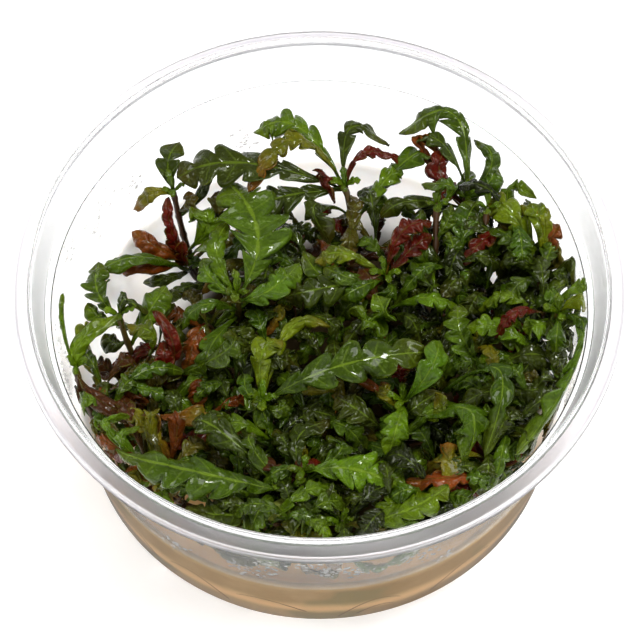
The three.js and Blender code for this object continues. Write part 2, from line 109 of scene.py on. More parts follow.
# Leaf colours as red, green and blue on a screen; 'under' is painted shade, a darker green for leaves in the
# clump's shade
TINTS = {
    "dark": (0.170, 0.205, 0.020),
    "mid": (0.215, 0.298, 0.018),
    "bright": (0.305, 0.400, 0.020),
    "light": (0.275, 0.375, 0.055),
    "yellow": (0.360, 0.400, 0.030),
    "olive": (0.270, 0.235, 0.040),
    "brown": (0.240, 0.115, 0.030),
    "red": (0.310, 0.048, 0.020),
    "orange": (0.400, 0.185, 0.035),
    "tip": (0.370, 0.350, 0.030),
    "pale": (0.350, 0.390, 0.140),
    # Painted shade: a darker green for leaves in the shade of the clump
    "under": (0.085, 0.100, 0.012),
}
RUDDY = ("red", "orange", "brown")
GREEN_INDEX, STEM_INDEX, RUDDY_INDEX = range(3)
DRY_SHARE = {"tip": 0.9, "orange": 0.8, "yellow": 0.35, "olive": 0.4}
STEM_LOW = (0.23, 0.18, 0.06)
STEM_HIGH = (0.28, 0.13, 0.05)
STEM_YOUNG = (0.36, 0.45, 0.09)

# The jelly's colours on a screen: cloudy depth, blots, the painted lit band at its foot, the top in front and
# behind with painted light and shade, the painted shade on the ground under the clump, and the brim in front
# and behind, a painted shade along the wall
GEL_DEEP = ((0.77, 0.65, 0.48), (0.68, 0.56, 0.38))
GEL_BLOT = (0.58, 0.54, 0.38)
GEL_LIT_BAND = (0.96, 0.80, 0.60)
GEL_TOPS_LIT_AND_SHADED = ((1.0, 0.80, 0.55), (0.97, 0.96, 0.95))
GEL_SHADED = (0.17, 0.13, 0.06)
GEL_SHADED_BRIMS = ((0.74, 0.62, 0.44), (0.95, 0.93, 0.91))

# The colours of dry tips and of young parts, as a shader takes them
DRY_TIP = (0.18, 0.06, 0.006)
YOUNG = (0.10, 0.17, 0.008)

# The plastic's own tint, and the flange's
CLEAR = (0.97, 0.98, 0.985)
FLANGE_TINT = (0.83, 0.81, 0.84)

# The side shoots that fill the clump between the large shoots
SIDE_SHOOTS = 84
SIDE_SHOOT_REACH = 46 * MM
SIDE_SHOOT_HEIGHT = 32 * MM
SIDE_SHOOT_LEAVES = 6
CLUMP_SLOPE = 0.09
SUNFLOWER_TURN = math.radians(137.508)
BARE_BACK = 27 * MM
CLEAR_FRONT = -37 * MM
WALL_SHOOTS = 17
WALL_SHOOT_REACH = 43.5 * MM
WALL_SHOOT_HEIGHT = 37.5 * MM
WALL_ARC = (math.radians(-165), math.radians(25))
RUDDY_LEFT = -20 * MM
RUDDY_TINTS = ("dark", "mid", "mid", "olive", "olive", "brown", "brown", "red", "tip", "orange", "bright")
RED_SPOT = Vector((9, 24)) * MM
RED_REACH = 11 * MM
RED_TINTS = ("red", "red", "red", "brown", "brown", "orange", "olive", "olive", "dark")
# Painted shade: the 'under' tint in these lists darkens leaves in the shade of the clump
LOWER_TINTS = ("under", "under", "dark", "dark", "mid")
SIDE_TINTS = ("dark",) * 9 + ("mid",) * 8 + ("under",) * 3 + ("bright", "bright", "olive", "tip", "red")

# The soft lights: name, place, width and share of the key light's power
SOFT_LIGHTS = [
    ("left_light", (-0.55, 0.05, 0.75), 0.35, 1.1),
    ("right_light", (0.55, 0.0, 0.75), 0.35, 1.1),
    ("top_light", (0.30, 0.12, 0.90), 0.12, 1.1),
    ("front_light", (0.0, -0.90, 0.45), 0.60, 0.5),
]

FLOOR_SIZE = 2.5
FLOOR_HEIGHT = -0.2 * MM
LIGHT_TARGET = Vector((0, 0, 30)) * MM
CAMERA_ASIDE = 0.12 * MM
SENSOR_WIDTH = 36

# Where condensation gathers: number of patches, the angles in degrees and the heights
DROP_FIELDS = [
    (14, (-128, -58), (21, 33)),
    (7, (150, 205), (26, 43)),
    (4, (105, 150), (26, 43)),
    (5, (-50, 60), (26, 42)),
]
DROPS_IN_PATCH = 13

# The roots against the wall: the angle where each begins, its turn, and its foot and its rise in millimetres
ROOTS = [
    (-1.50, 0.27, 2.5, 8.0), (-1.42, 0.16, 3.5, 3.0), (-1.62, -0.30, 6.0, 4.5), (-1.95, -0.28, 4.0, 7.0),
    (-2.30, -0.22, 5.0, 5.0), (-1.10, 0.30, 4.0, 6.5), (-0.40, 0.25, 5.0, 6.0), (2.60, 0.30, 4.0, 7.0),
    (1.40, -0.30, 5.0, 5.0), (0.60, 0.25, 3.5, 8.0),
]
ROOT_ARCH = 2.4
ROOT_RADIUS = 0.22 * MM
ROOT_TINT = (0.2, 0.1, 0.04)

Leaf = collections.namedtuple("Leaf", "own name base middle tip width lobes tint")
Shoot = collections.namedtuple("Shoot", "name stem leaves lower_nodes")


def own(*entry):
    """A leaf that is a piece of its own: name, the midrib's three points, width, pairs of lobes and tint."""
    return Leaf(True, *entry)


def fused(*entry):
    """A leaf that is joined to its shoot, given in the same way."""
    return Leaf(False, *entry)


# The shoots, each with its stem from the jelly up and its leaves, in whole millimetres
SHOOTS = [
    Shoot("back_left", [[-24, 19, 18], [-27, 23, 30], [-29, 28, 41]], [
        fused("fork", [-29, 29, 41], [-30, 32, 44], [-28, 37, 44], 5, 2, "dark"),
        fused("yellow_tip", [-29, 28, 41], [-33, 26, 43], [-37, 25, 38], 3, 0, "tip"),
        fused("bud", [-27, 24, 37], [-26, 25, 40], [-26, 28, 40], 3, 0, "olive"),
        fused("red_up", [-26, 19, 25], [-29, 20, 36], [-30, 26, 41], 3, 5, "red"),
        fused("obovate", [-26, 19, 28], [-32, 18, 35], [-37, 21, 36], 4, 0, "orange"),
        own("arch", [-26, 18, 26], [-36, 13, 40], [-45, 11, 35], 4, 0, "mid"),
        fused("bright", [-26, 20, 31], [-22, 21, 39], [-25, 25, 39], 7, 4, "bright"),
        fused("red_up2", [-26, 19, 24], [-27, 18, 30], [-27, 19, 36], 3, 3, "red"),
        fused("obovate2", [-26, 19, 27], [-34, 14, 35], [-40, 14, 34], 3, 0, "orange"),
        fused("dark_low", [-26, 19, 23], [-30, 14, 30], [-35, 14, 28], 2, 0, "dark"),
        fused("low_lobe", [-26, 19, 30], [-22, 18, 37], [-19, 17, 37], 4, 2, "bright"),
        fused("olive", [-21, 22, 32], [-20, 24, 40], [-20, 28, 40], 5, 3, "olive"),
        fused("narrow", [-26, 24, 36], [-23, 29, 40], [-24, 33, 40], 2, 0, "dark"),
    ], 1),
    Shoot("left", [[-31, -7, 18], [-36, -4, 28], [-39, 1, 39]], [
        own("feather", [-39, 1, 38], [-43, 4, 42], [-43, 11, 41], 6, 5, "mid"),
        fused("side", [-39, 1, 36], [-42, 0, 38], [-45, 3, 39], 4, 0, "bright"),
        fused("hoop", [-38, 0, 34], [-38, 2, 42], [-33, 2, 37], 3, 0, "dark"),
        fused("lying", [-33, -6, 21], [-39, -4, 24], [-44, -4, 23], 4, 2, "brown"),
        own("red", [-32, -8, 22], [-36, -14, 31], [-39, -12, 32], 6, 3, "red"),
        fused("pale", [-37, -2, 31], [-33, 2, 38], [-30, 8, 37], 5, 0, "bright"),
        fused("dark", [-38, 0, 32], [-40, -2, 32], [-42, 0, 32], 4, 0, "dark"),
        fused("strip", [-31, -6, 26], [-28, -7, 38], [-32, 0, 41], 3, 0, "red"),
        fused("crinkled", [-33, -6, 34], [-32, -5, 41], [-37, -3, 41], 5, 4, "yellow"),
        fused("ruddy", [-31, -9, 24], [-30, -10, 34], [-30, -5, 38], 4, 4, "red"),
        fused("fold", [-30, -8, 28], [-19, -10, 42], [-16, -5, 41], 6, 4, "mid"),
    ], 1),
    Shoot("left_wall", [[-43, -15, 18], [-46, -12, 30], [-47, -10, 37]], [
        fused("wall", [-48, -10, 37], [-51, -5, 43], [-50, 1, 46], 3, 0, "bright"),
        fused("stalk", [-48, -12, 30], [-47, -8, 40], [-39, -1, 41], 3, 0, "bright"),
        own("brown", [-48, -11, 36], [-42, -18, 38], [-32, -21, 35], 3, 0, "brown"),
        own("ruff", [-45, -16, 20], [-43, -19, 33], [-39, -21, 33], 6, 4, "bright"),
        fused("crinkle", [-47, -8, 36], [-46, -5, 40], [-43, -3, 40], 4, 3, "yellow"),
        fused("dark", [-47, -13, 26], [-41, -15, 34], [-43, -13, 34], 4, 2, "dark"),
    ], 1),
    Shoot("lower_left", [[-30, -29, 18], [-31, -32, 30], [-32, -31, 36]], [
        fused("hook", [-32, -32, 36], [-40, -26, 43], [-36, -23, 41], 3, 3, "bright"),
        fused("hook2", [-32, -31, 36], [-37, -29, 43], [-34, -25, 41], 3, 3, "bright"),
        fused("orange", [-30, -32, 33], [-32, -23, 42], [-31, -25, 37], 3, 3, "tip"),
        own("back", [-30, -31, 26], [-20, -23, 36], [-28, -22, 37], 5, 3, "tip"),
        fused("small", [-30, -32, 31], [-26, -31, 38], [-23, -30, 36], 4, 2, "mid"),
        fused("rib", [-29, -29, 30], [-27, -24, 40], [-30, -22, 39], 4, 2, "orange"),
        fused("low", [-30, -29, 24], [-36, -30, 30], [-40, -27, 30], 5, 3, "dark"),
    ], 2),
    Shoot("front_left", [[-5, -35, 18], [-4, -36, 28], [-6, -36, 36]], [
        own("long", [-6, -36, 36], [-21, -37, 45], [-39, -32, 44], 11, 6, "mid"),
        own("low", [-6, -36, 33], [-15, -43, 40], [-25, -42, 40], 8, 5, "dark"),
        fused("under", [-5, -36, 34], [-8, -33, 38], [-13, -29, 36], 3, 2, "brown"),
        fused("pale", [-5, -36, 35], [-7, -40, 38], [-11, -41, 36], 4, 2, "pale"),
        fused("back_rib", [-5, -34, 32], [-18, -27, 42], [-24, -24, 41], 7, 4, "dark"),
        fused("stand", [-5, -34, 32], [-12, -30, 40], [-13, -26, 40], 4, 2, "mid"),
        fused("pressed", [-6, -37, 24], [-14, -44, 24], [-22, -42, 28], 6, 4, "olive"),
        fused("pressed2", [-6, -37, 22], [-8, -46, 24], [-10, -46, 30], 5, 3, "mid"),
    ], 3),
    Shoot("front", [[5, -41, 18], [5, -43, 28], [4, -43, 36]], [
        own("feather", [4, -43, 36], [15, -44, 43], [24, -38, 42], 8, 5, "bright"),
        fused("lobed", [4, -43, 35], [-2, -43, 40], [-7, -44, 38], 7, 4, "dark"),
        fused("up", [4, -43, 35], [1, -40, 39], [-3, -38, 38], 4, 2, "mid"),
        fused("low", [5, -42, 32], [10, -46, 37], [15, -45, 37], 4, 3, "dark"),
        fused("pressed", [5, -42, 24], [12, -47, 24], [20, -44, 30], 6, 4, "bright"),
        fused("pressed2", [5, -41, 22], [1, -47, 22], [-3, -47, 27], 5, 3, "olive"),
        fused("under", [5, -42, 28], [14, -42, 34], [22, -40, 34], 7, 4, "dark"),
    ], 3),
    Shoot("front_bright", [[-4, -32, 18], [-3, -33, 30], [-3, -33, 38]], [
        own("blade", [-3, -33, 38], [6, -35, 43], [16, -38, 40], 10, 5, "bright"),
        fused("bud", [-4, -32, 32], [2, -31, 37], [6, -27, 36], 4, 3, "mid"),
        fused("dark", [-3, -33, 37], [-4, -26, 38], [2, -22, 37], 5, 3, "dark"),
        fused("lobe", [-3, -33, 36], [-1, -36, 38], [2, -35, 37], 4, 2, "mid"),
        fused("knob", [-3, -33, 34], [4, -29, 39], [2, -26, 38], 5, 3, "mid"),
    ], 3),
    Shoot("centre_left", [[-17, 5, 18], [-16, 4, 30], [-16, 6, 38]], [
        own("feather", [-16, 6, 38], [-12, 16, 43], [-18, 29, 42], 14, 5, "light"),
        fused("left", [-17, 6, 36], [-21, 8, 40], [-23, 13, 39], 5, 3, "light"),
        fused("upright", [-17, 7, 37], [-20, 12, 42], [-18, 20, 41], 4, 3, "bright"),
        own("right", [-16, 6, 36], [-10, 4, 42], [-4, 12, 39], 6, 3, "light"),
        own("twist", [-17, 5, 32], [-21, -6, 38], [-21, -10, 36], 5, 2, "mid"),
        fused("saw", [-17, 4, 26], [-24, -4, 32], [-27, 2, 35], 5, 5, "dark"),
        fused("spoon", [-17, 4, 31], [-22, -4, 34], [-22, 0, 36], 3, 2, "dark"),
        fused("curl", [-16, 6, 34], [-8, 7, 41], [-6, 10, 39], 5, 3, "bright"),
    ], 2),
    Shoot("centre", [[-10, -16, 18], [-11, -17, 28], [-11, -17, 36]], [
        own("across", [-11, -17, 36], [3, -15, 46], [21, -10, 43], 8, 5, "mid"),
        fused("shiny", [-11, -17, 35], [-8, -20, 38], [-5, -16, 36], 3, 0, "mid"),
        fused("back", [-11, -17, 34], [-14, -16, 39], [-14, -10, 37], 4, 2, "mid"),
        own("curl", [-11, -17, 34], [-11, -10, 42], [-7, -7, 42], 6, 3, "yellow"),
        fused("yellow", [-11, -17, 32], [-6, -5, 42], [2, -3, 40], 3, 3, "yellow"),
        fused("inner", [-12, -15, 33], [-15, -4, 34], [-12, 4, 32], 4, 0, "dark"),
        fused("fold", [-11, -17, 31], [-11, -18, 37], [-13, -18, 37], 3, 2, "mid"),
        fused("browntip", [-10, -16, 32], [2, -15, 39], [3, -20, 36], 3, 0, "tip"),
        fused("low", [-10, -16, 28], [-2, -19, 36], [6, -22, 35], 6, 4, "dark"),
    ], 3),
    Shoot("back_red", [[8, 22, 18], [7, 23, 32], [5, 30, 40]], [
        own("sweep", [4, 30, 40], [-15, 31, 46], [-28, 28, 45], 9, 5, "dark"),
        own("jagged", [5, 31, 40], [-4, 40, 45], [-13, 40, 43], 8, 6, "bright"),
        own("orange", [4, 31, 40], [-5, 35, 48], [-14, 26, 43], 4, 6, "tip"),
        fused("loop", [5, 30, 39], [0, 30, 44], [3, 26, 39], 4, 4, "red"),
        own("arch", [5, 30, 40], [6, 39, 46], [14, 37, 43], 5, 3, "dark"),
        fused("strand", [6, 30, 39], [9, 34, 45], [18, 34, 40], 3, 5, "red"),
        own("dark_fan", [4, 30, 38], [-6, 26, 42], [-12, 25, 39], 7, 4, "dark"),
        own("round", [5, 26, 35], [-1, 23, 43], [2, 17, 38], 7, 3, "dark"),
        fused("olive", [6, 26, 34], [6, 18, 39], [6, 15, 37], 4, 2, "olive"),
        fused("green", [7, 24, 34], [17, 34, 42], [22, 35, 41], 5, 3, "mid"),
        fused("green2", [7, 25, 34], [13, 30, 41], [16, 33, 40], 5, 3, "bright"),
    ], 2),
    Shoot("centre_back", [[13, 9, 18], [13, 9, 30], [13, 10, 38]], [
        own("level", [12, 11, 38], [5, 12, 43], [-1, 11, 41], 5, 4, "yellow"),
        own("broad", [11, 9, 38], [2, 5, 42], [-7, 5, 38], 7, 4, "dark"),
        fused("shine", [13, 9, 37], [8, 5, 42], [4, 4, 39], 4, 0, "mid"),
        own("red", [13, 11, 38], [16, 15, 46], [22, 19, 43], 5, 5, "red"),
        fused("red2", [13, 11, 38], [18, 13, 43], [22, 17, 41], 4, 4, "red"),
        fused("down", [13, 10, 36], [14, 4, 42], [10, 3, 37], 4, 2, "mid"),
        fused("point", [6, 9, 36], [1, 8, 40], [-3, 14, 40], 4, 2, "mid"),
        fused("narrow", [10, 10, 34], [3, 6, 38], [1, 2, 36], 2, 0, "mid"),
        fused("blade", [13, 11, 34], [6, 7, 42], [1, 10, 41], 4, 3, "mid"),
        fused("drop", [13, 11, 34], [13, 7, 38], [10, 5, 36], 4, 2, "dark"),
        fused("star", [13, 9, 30], [11, -2, 41], [6, 0, 40], 6, 4, "bright"),
        fused("star2", [13, 9, 28], [13, -1, 41], [11, 3, 42], 5, 3, "bright"),
    ], 3),
    Shoot("right_back", [[30, 25, 18], [29, 25, 32], [29, 27, 40]], [
        own("arch", [29, 27, 40], [27, 41, 48], [16, 39, 44], 9, 5, "mid"),
        fused("lobe", [29, 28, 41], [34, 31, 46], [31, 38, 44], 3, 0, "mid"),
        fused("side", [30, 27, 39], [33, 27, 44], [35, 31, 44], 5, 0, "mid"),
        own("rosette", [28, 26, 38], [24, 30, 43], [25, 35, 44], 5, 3, "red"),
        fused("spike", [28, 26, 37], [18, 24, 43], [12, 23, 38], 5, 2, "dark"),
        fused("low", [29, 30, 40], [24, 36, 46], [19, 38, 43], 4, 3, "dark"),
        fused("twig", [28, 26, 36], [20, 37, 44], [24, 35, 43], 3, 3, "orange"),
    ], 3),
    Shoot("mid", [[24, 8, 18], [23, 12, 32], [23, 23, 45]], [
        fused("left", [23, 13, 34], [20, 14, 40], [21, 18, 41], 4, 0, "mid"),
        fused("right", [23, 13, 34], [26, 14, 40], [25, 18, 41], 4, 0, "mid"),
        fused("upleft", [23, 18, 39], [20, 18, 43], [20, 22, 43], 3, 0, "mid"),
        fused("upright", [23, 18, 39], [25, 19, 43], [26, 23, 43], 3, 0, "mid"),
        own("top", [23, 22, 45], [26, 24, 48], [20, 26, 46], 5, 3, "mid"),
        fused("low", [23, 9, 29], [22, 7, 38], [19, 12, 38], 4, 2, "dark"),
    ], 3),
    Shoot("right", [[33, 8, 18], [32, 12, 32], [33, 22, 45]], [
        fused("left", [32, 15, 35], [29, 18, 42], [31, 23, 44], 5, 0, "mid"),
        own("right", [33, 15, 35], [37, 17, 42], [35, 22, 44], 5, 0, "olive"),
        fused("lowleft", [32, 9, 29], [29, 11, 37], [30, 16, 39], 5, 0, "mid"),
        fused("lowright", [33, 9, 29], [37, 11, 37], [36, 16, 39], 5, 0, "dark"),
        fused("inner", [32, 11, 30], [28, 12, 34], [27, 19, 37], 6, 4, "dark"),
        fused("outer", [33, 10, 28], [39, 8, 36], [43, 9, 37], 6, 4, "dark"),
    ], 3),
    Shoot("far_right", [[42, 7, 18], [44, 9, 30], [43, 13, 38]], [
        own("broad", [42, 13, 38], [38, 19, 45], [33, 23, 44], 6, 3, "yellow"),
        fused("yellow", [43, 13, 38], [43, 18, 46], [39, 22, 44], 4, 0, "yellow"),
        fused("red", [44, 11, 35], [45, 15, 43], [50, 19, 44], 5, 2, "orange"),
        own("back", [44, 10, 32], [49, 9, 46], [51, 4, 43], 6, 2, "dark"),
        fused("across", [43, 8, 31], [42, 2, 42], [49, 6, 43], 4, 0, "mid"),
        fused("lobed", [42, 15, 37], [37, 25, 44], [43, 24, 44], 4, 2, "bright"),
        fused("tipup", [43, 13, 37], [44, 17, 45], [43, 20, 46], 3, 2, "yellow"),
        fused("grey", [43, 12, 36], [47, 12, 41], [46, 16, 41], 3, 2, "olive"),
    ], 3),
    Shoot("right_top", [[39, 4, 18], [44, 0, 36], [46, -3, 45]], [
        fused("wing", [45, -3, 43], [49, -3, 51], [54, -4, 49], 5, 2, "yellow"),
        own("claw", [46, -3, 45], [51, -9, 52], [53, -14, 47], 6, 3, "mid"),
        fused("hang", [46, -3, 45], [45, -9, 48], [45, -11, 43], 5, 2, "mid"),
        own("great", [46, -2, 45], [51, -18, 54], [37, -32, 42], 12, 6, "light"),
        fused("pale", [43, 0, 35], [40, -7, 40], [43, -6, 39], 4, 2, "pale"),
        fused("glow", [45, -1, 40], [42, -5, 45], [39, -5, 43], 6, 3, "bright"),
    ], 3),
    Shoot("right_mid", [[36, -7, 18], [34, -8, 28], [34, -10, 36]], [
        own("lying", [34, -10, 36], [40, -10, 42], [46, -11, 39], 6, 3, "dark"),
        fused("gloss", [34, -10, 35], [39, -17, 41], [44, -14, 38], 4, 0, "dark"),
        fused("tipped", [34, -10, 30], [37, -20, 38], [44, -18, 37], 4, 0, "tip"),
        fused("crimson", [34, -10, 33], [39, -5, 40], [37, -1, 40], 3, 0, "red"),
        own("blade", [33, -10, 31], [28, -5, 38], [27, 2, 40], 6, 5, "light"),
        fused("line", [34, -9, 32], [33, -19, 40], [32, -15, 40], 5, 3, "mid"),
        fused("deep", [35, -8, 26], [42, -14, 32], [47, -16, 33], 6, 4, "dark"),
    ], 3),
    Shoot("right_front", [[34, -28, 18], [34, -31, 30], [34, -31, 38]], [
        own("veined", [34, -31, 31], [32, -27, 38], [39, -23, 38], 7, 4, "dark"),
        fused("low", [34, -31, 34], [31, -36, 41], [26, -32, 39], 5, 3, "mid"),
        fused("turned", [34, -31, 35], [31, -37, 40], [28, -36, 39], 4, 2, "mid"),
        fused("orange", [34, -31, 36], [25, -36, 42], [16, -36, 40], 5, 3, "orange"),
        fused("patch", [34, -30, 34], [26, -34, 42], [23, -29, 41], 6, 3, "tip"),
        fused("ruddy", [34, -29, 34], [29, -28, 39], [30, -25, 38], 3, 2, "red"),
        fused("ruddy2", [34, -30, 36], [38, -31, 40], [40, -28, 40], 3, 2, "red"),
        fused("pressed", [34, -30, 24], [37, -34, 26], [33, -38, 30], 6, 4, "olive"),
    ], 3),
    Shoot("middle", [[16, -18, 18], [16, -19, 30], [16, -17, 36]], [
        own("bright", [16, -19, 36], [15, -25, 44], [13, -31, 40], 6, 4, "bright"),
        fused("dark", [12, -22, 34], [8, -22, 41], [3, -18, 40], 7, 4, "dark"),
        own("light", [16, -16, 37], [21, -15, 45], [23, -7, 42], 5, 2, "light"),
        own("curled", [24, -16, 38], [34, -17, 48], [31, -31, 40], 5, 4, "mid"),
        own("big_curl", [16, -22, 33], [28, -24, 46], [27, -34, 38], 8, 4, "mid"),
        fused("across", [15, -21, 32], [18, -20, 39], [23, -16, 38], 5, 3, "dark"),
        fused("stalk", [16, -17, 34], [9, -15, 40], [5, -12, 37], 2, 0, "orange"),
        fused("short", [16, -18, 34], [13, -17, 39], [12, -14, 38], 3, 0, "tip"),
        fused("yellow", [16, -18, 34], [23, -22, 41], [22, -18, 40], 4, 3, "yellow"),
    ], 3),
]


def length_value(name, description, millimetres):
    """A length as a value that the panel shows."""
    return number_value(name, description, millimetres * MM, unit="LENGTH")


def number_value(name, description, default, **settings):
    """A number as a value that the panel shows."""
    return bpy.props.FloatProperty(name=name, description=description, default=default, **settings)


def color_value(name, description, default):
    """A colour as a value that the panel shows."""
    return bpy.props.FloatVectorProperty(name=name, description=description, default=default, subtype="COLOR")


class CultureCupSizes(bpy.types.PropertyGroup):
    """The cup's section, as on the solid that carries it."""

    base_radius: length_value("Base radius", "Outer radius of the wall at the foot", 47.2)
    base_rounding: length_value("Base rounding", "Height of the rounded foot", 1.8)
    wall: length_value("Wall", "Thickness of the plastic", 0.9)
    skin: length_value("Plastic", "Thickness of the plastic that is seen, on the wall's outer side", 0.5)
    ledge_height: length_value("Ledge height", "Height of the step in the wall", 44.4)
    ledge_radius: length_value("Ledge radius", "Outer radius just below the step", 51.9)
    ledge_step: length_value("Ledge step", "How far the wall steps out", 1.0)
    lip_radius: length_value("Lip radius", "Outer radius of the lip over the flange", 55.2)
    flange_height: length_value("Flange height", "Height of the flange's underside", 51.6)
    skirt_drop: length_value("Skirt drop", "How far the flange's edge hangs down", 1.2)
    segments: bpy.props.IntProperty(name="Segments", description="Steps round the cup", default=128)
    drop_share: number_value("Condensation", "Share of the beads of condensation that are made", 1.0)


class CulturePlantLook(bpy.types.PropertyGroup):
    """The plants' stems and leaves."""

    stem_radius: length_value("Stem radius", "Radius of a stem between its nodes", 0.85)
    leaf_thickness: length_value("Leaf thickness", "Thickness of the blade", 0.26)
    lobe_depth: number_value(
        "Lobe depth", "Share of the half width that the notches take", 0.72, subtype="FACTOR")
    lobe_sweep: number_value("Lobe sweep", "How far the lobes lean to the tip, in half widths", 0.62)
    margin_curl: number_value("Margin curl", "Angle that the margins turn down", 1.05, subtype="ANGLE")
    vein_color: color_value("Vein colour", "Colour of the midrib and the side veins", (0.15, 0.23, 0.015))


class CultureStageLook(bpy.types.PropertyGroup):
    """The floor, the light and the camera."""

    floor_color: color_value("Floor colour", "Colour of the pale floor", (0.95, 0.95, 0.95))
    floor_glow: number_value("Floor glow", "Light that comes through the floor, as from a light table", 0.25)
    sky_strength: number_value("Sky strength", "Strength of the light from overhead all round", 0.12)
    horizon_strength: number_value("Horizon strength", "Strength of the light from low down all round", 0.68)
    ground_strength: number_value(
        "Ground strength", "What the plastic mirrors from below, not the floor", 0.22)
    key_energy: number_value("Key light", "Power of each soft light beside the cup", 3.1, unit="POWER")
    camera_elevation: number_value(
        "Camera elevation", "Angle of the view above the horizon", math.radians(60.25), subtype="ANGLE")
    camera_distance: length_value("Camera distance", "From the camera to the point that it looks at", 550)
    camera_lens: number_value("Camera lens", "Focal length in millimetres", 159.26)
    camera_height: length_value("Target height", "Height of the point that the camera looks at", 37.6)


def smooth(low, high, x):
    """0 below low, 1 above high and an even turn between them."""
    t = min(1.0, max(0.0, (x - low) / (high - low)))
    return t * t * (3 - 2 * t)


def linear(color):
    """A screen colour as the linear values that a shader takes."""
    return [c / 12.92 if c <= 0.04045 else ((c + 0.055) / 1.055) ** 2.4 for c in color]


def mixed(a, b, share):
    """The colour that lies at a share of the way from a to b."""
    return [p + (q - p) * share for p, q in zip(a, b)]


def point_of(entry):
    """A point of the table of shoots in metres."""
    return Vector(entry) * MM


# The cup's wall and the jelly's surface

def outer_radius(height):
    """Outer radius of the wall below the ledge."""
    sizes = bpy.context.scene.culture_cup
    return sizes.base_radius + (sizes.ledge_radius - sizes.base_radius) * height / sizes.ledge_height


def inner_radius(height):
    """Inner radius of the wall below the ledge."""
    return outer_radius(height) - bpy.context.scene.culture_cup.wall


def gel_surface(radius):
    """Height of the jelly's surface at a distance from the cup's axis."""
    reach = max(0.0, radius - (inner_radius(GEL_TOP) - MENISCUS_WIDTH)) / MENISCUS_WIDTH
    return GEL_TOP + MENISCUS_RISE * min(1.0, reach) ** 2


def kept_inside(point):
    """The point moved off the wall and off the jelly, so that a leaf bends along them."""
    sizes = bpy.context.scene.culture_cup
    radius = math.hypot(point.x, point.y)
    over = max(0.0, point.z - sizes.ledge_height)
    wall = inner_radius(min(point.z, sizes.ledge_height)) + WALL_FLARE * over
    free = wall - WALL_CLEARANCE - WALL_EASING
    if radius > free:
        eased = free + WALL_EASING * (1 - math.exp((free - radius) / WALL_EASING))
        point.x *= eased / radius
        point.y *= eased / radius
    ground = gel_surface(math.hypot(point.x, point.y)) + GEL_CLEARANCE
    if point.z < ground + GEL_EASING:
        point.z = ground + GEL_EASING * math.exp((point.z - ground - GEL_EASING) / GEL_EASING)
    return point


# Finishes

def added(tree, kind, inputs=(), **settings):
    """A node of a kind with its settings, and each input given as a value or as the output that feeds it."""
    made = tree.nodes.new(kind)
    for name, value in settings.items():
        setattr(made, name, value)
    for socket, value in dict(inputs).items():
        if isinstance(value, bpy.types.NodeSocket):
            tree.links.new(value, made.inputs[socket])
        else:
            made.inputs[socket].default_value = value
    return made


def math_node(tree, operation, *values):
    """The output of a Math node."""
    return added(tree, "ShaderNodeMath", enumerate(values), operation=operation).outputs[0]


def vector_node(tree, operation, *values):
    """A Vector Math node."""
    return added(tree, "ShaderNodeVectorMath", enumerate(values), operation=operation)


def times(tree, a, b):
    """The product of two values."""
    return math_node(tree, "MULTIPLY", a, b)


def ramp(tree, value, low, high, start=0.0, end=1.0):
    """A value carried smoothly from a range to another."""
    inputs = {"Value": value, "From Min": low, "From Max": high, "To Min": start, "To Max": end}
    return added(tree, "ShaderNodeMapRange", inputs, interpolation_type="SMOOTHSTEP").outputs[0]


def color_mix(tree, share, a, b, blend_type="MIX"):
    """The colour output of a Mix node."""
    made = added(tree, "ShaderNodeMix", {0: share}, data_type="RGBA", blend_type=blend_type)
    for socket, value in ((6, a), (7, b)):
        if isinstance(value, bpy.types.NodeSocket):
            tree.links.new(value, made.inputs[socket])
        else:
            made.inputs[socket].default_value = (*value, 1)
    return made.outputs[2]


def object_place(tree):
    """Object coordinates."""
    return added(tree, "ShaderNodeTexCoord").outputs["Object"]


def cup_place(tree):
    """Object coordinates, their Y and Z and the distance from the cup's axis."""
    place = object_place(tree)
    parts = added(tree, "ShaderNodeSeparateXYZ", {0: place}).outputs
    flat = vector_node(tree, "MULTIPLY", place, (1, 1, 0)).outputs["Vector"]
    axis = vector_node(tree, "LENGTH", flat).outputs["Value"]
    return place, parts["Y"], parts["Z"], axis


def attribute(tree, name, output):
    """An output of an attribute of the mesh."""
    return added(tree, "ShaderNodeAttribute", attribute_name=name).outputs[output]


def noise_value(tree, scale, detail=3.0, rough=0.5):
    """Noise on Object coordinates."""
    inputs = {"Vector": object_place(tree), "Scale": scale, "Detail": detail, "Roughness": rough}
    return added(tree, "ShaderNodeTexNoise", inputs).outputs[0]


def new_material(name, **values):
    """A material whose shader has these values, its tree and its shader."""
    material = bpy.data.materials.new(name)
    material.use_nodes = True
    tree = material.node_tree
    shader = tree.nodes["Principled BSDF"]
    for socket, value in values.items():
        shader.inputs[socket.replace("_", " ")].default_value = value
    return material, tree, shader


def bumped(tree, shader, height, distance, strength=1.0):
    """Gives the shader relief from a height."""
    inputs = {"Height": height, "Distance": distance, "Strength": strength}
    tree.links.new(added(tree, "ShaderNodeBump", inputs).outputs[0], shader.inputs["Normal"])


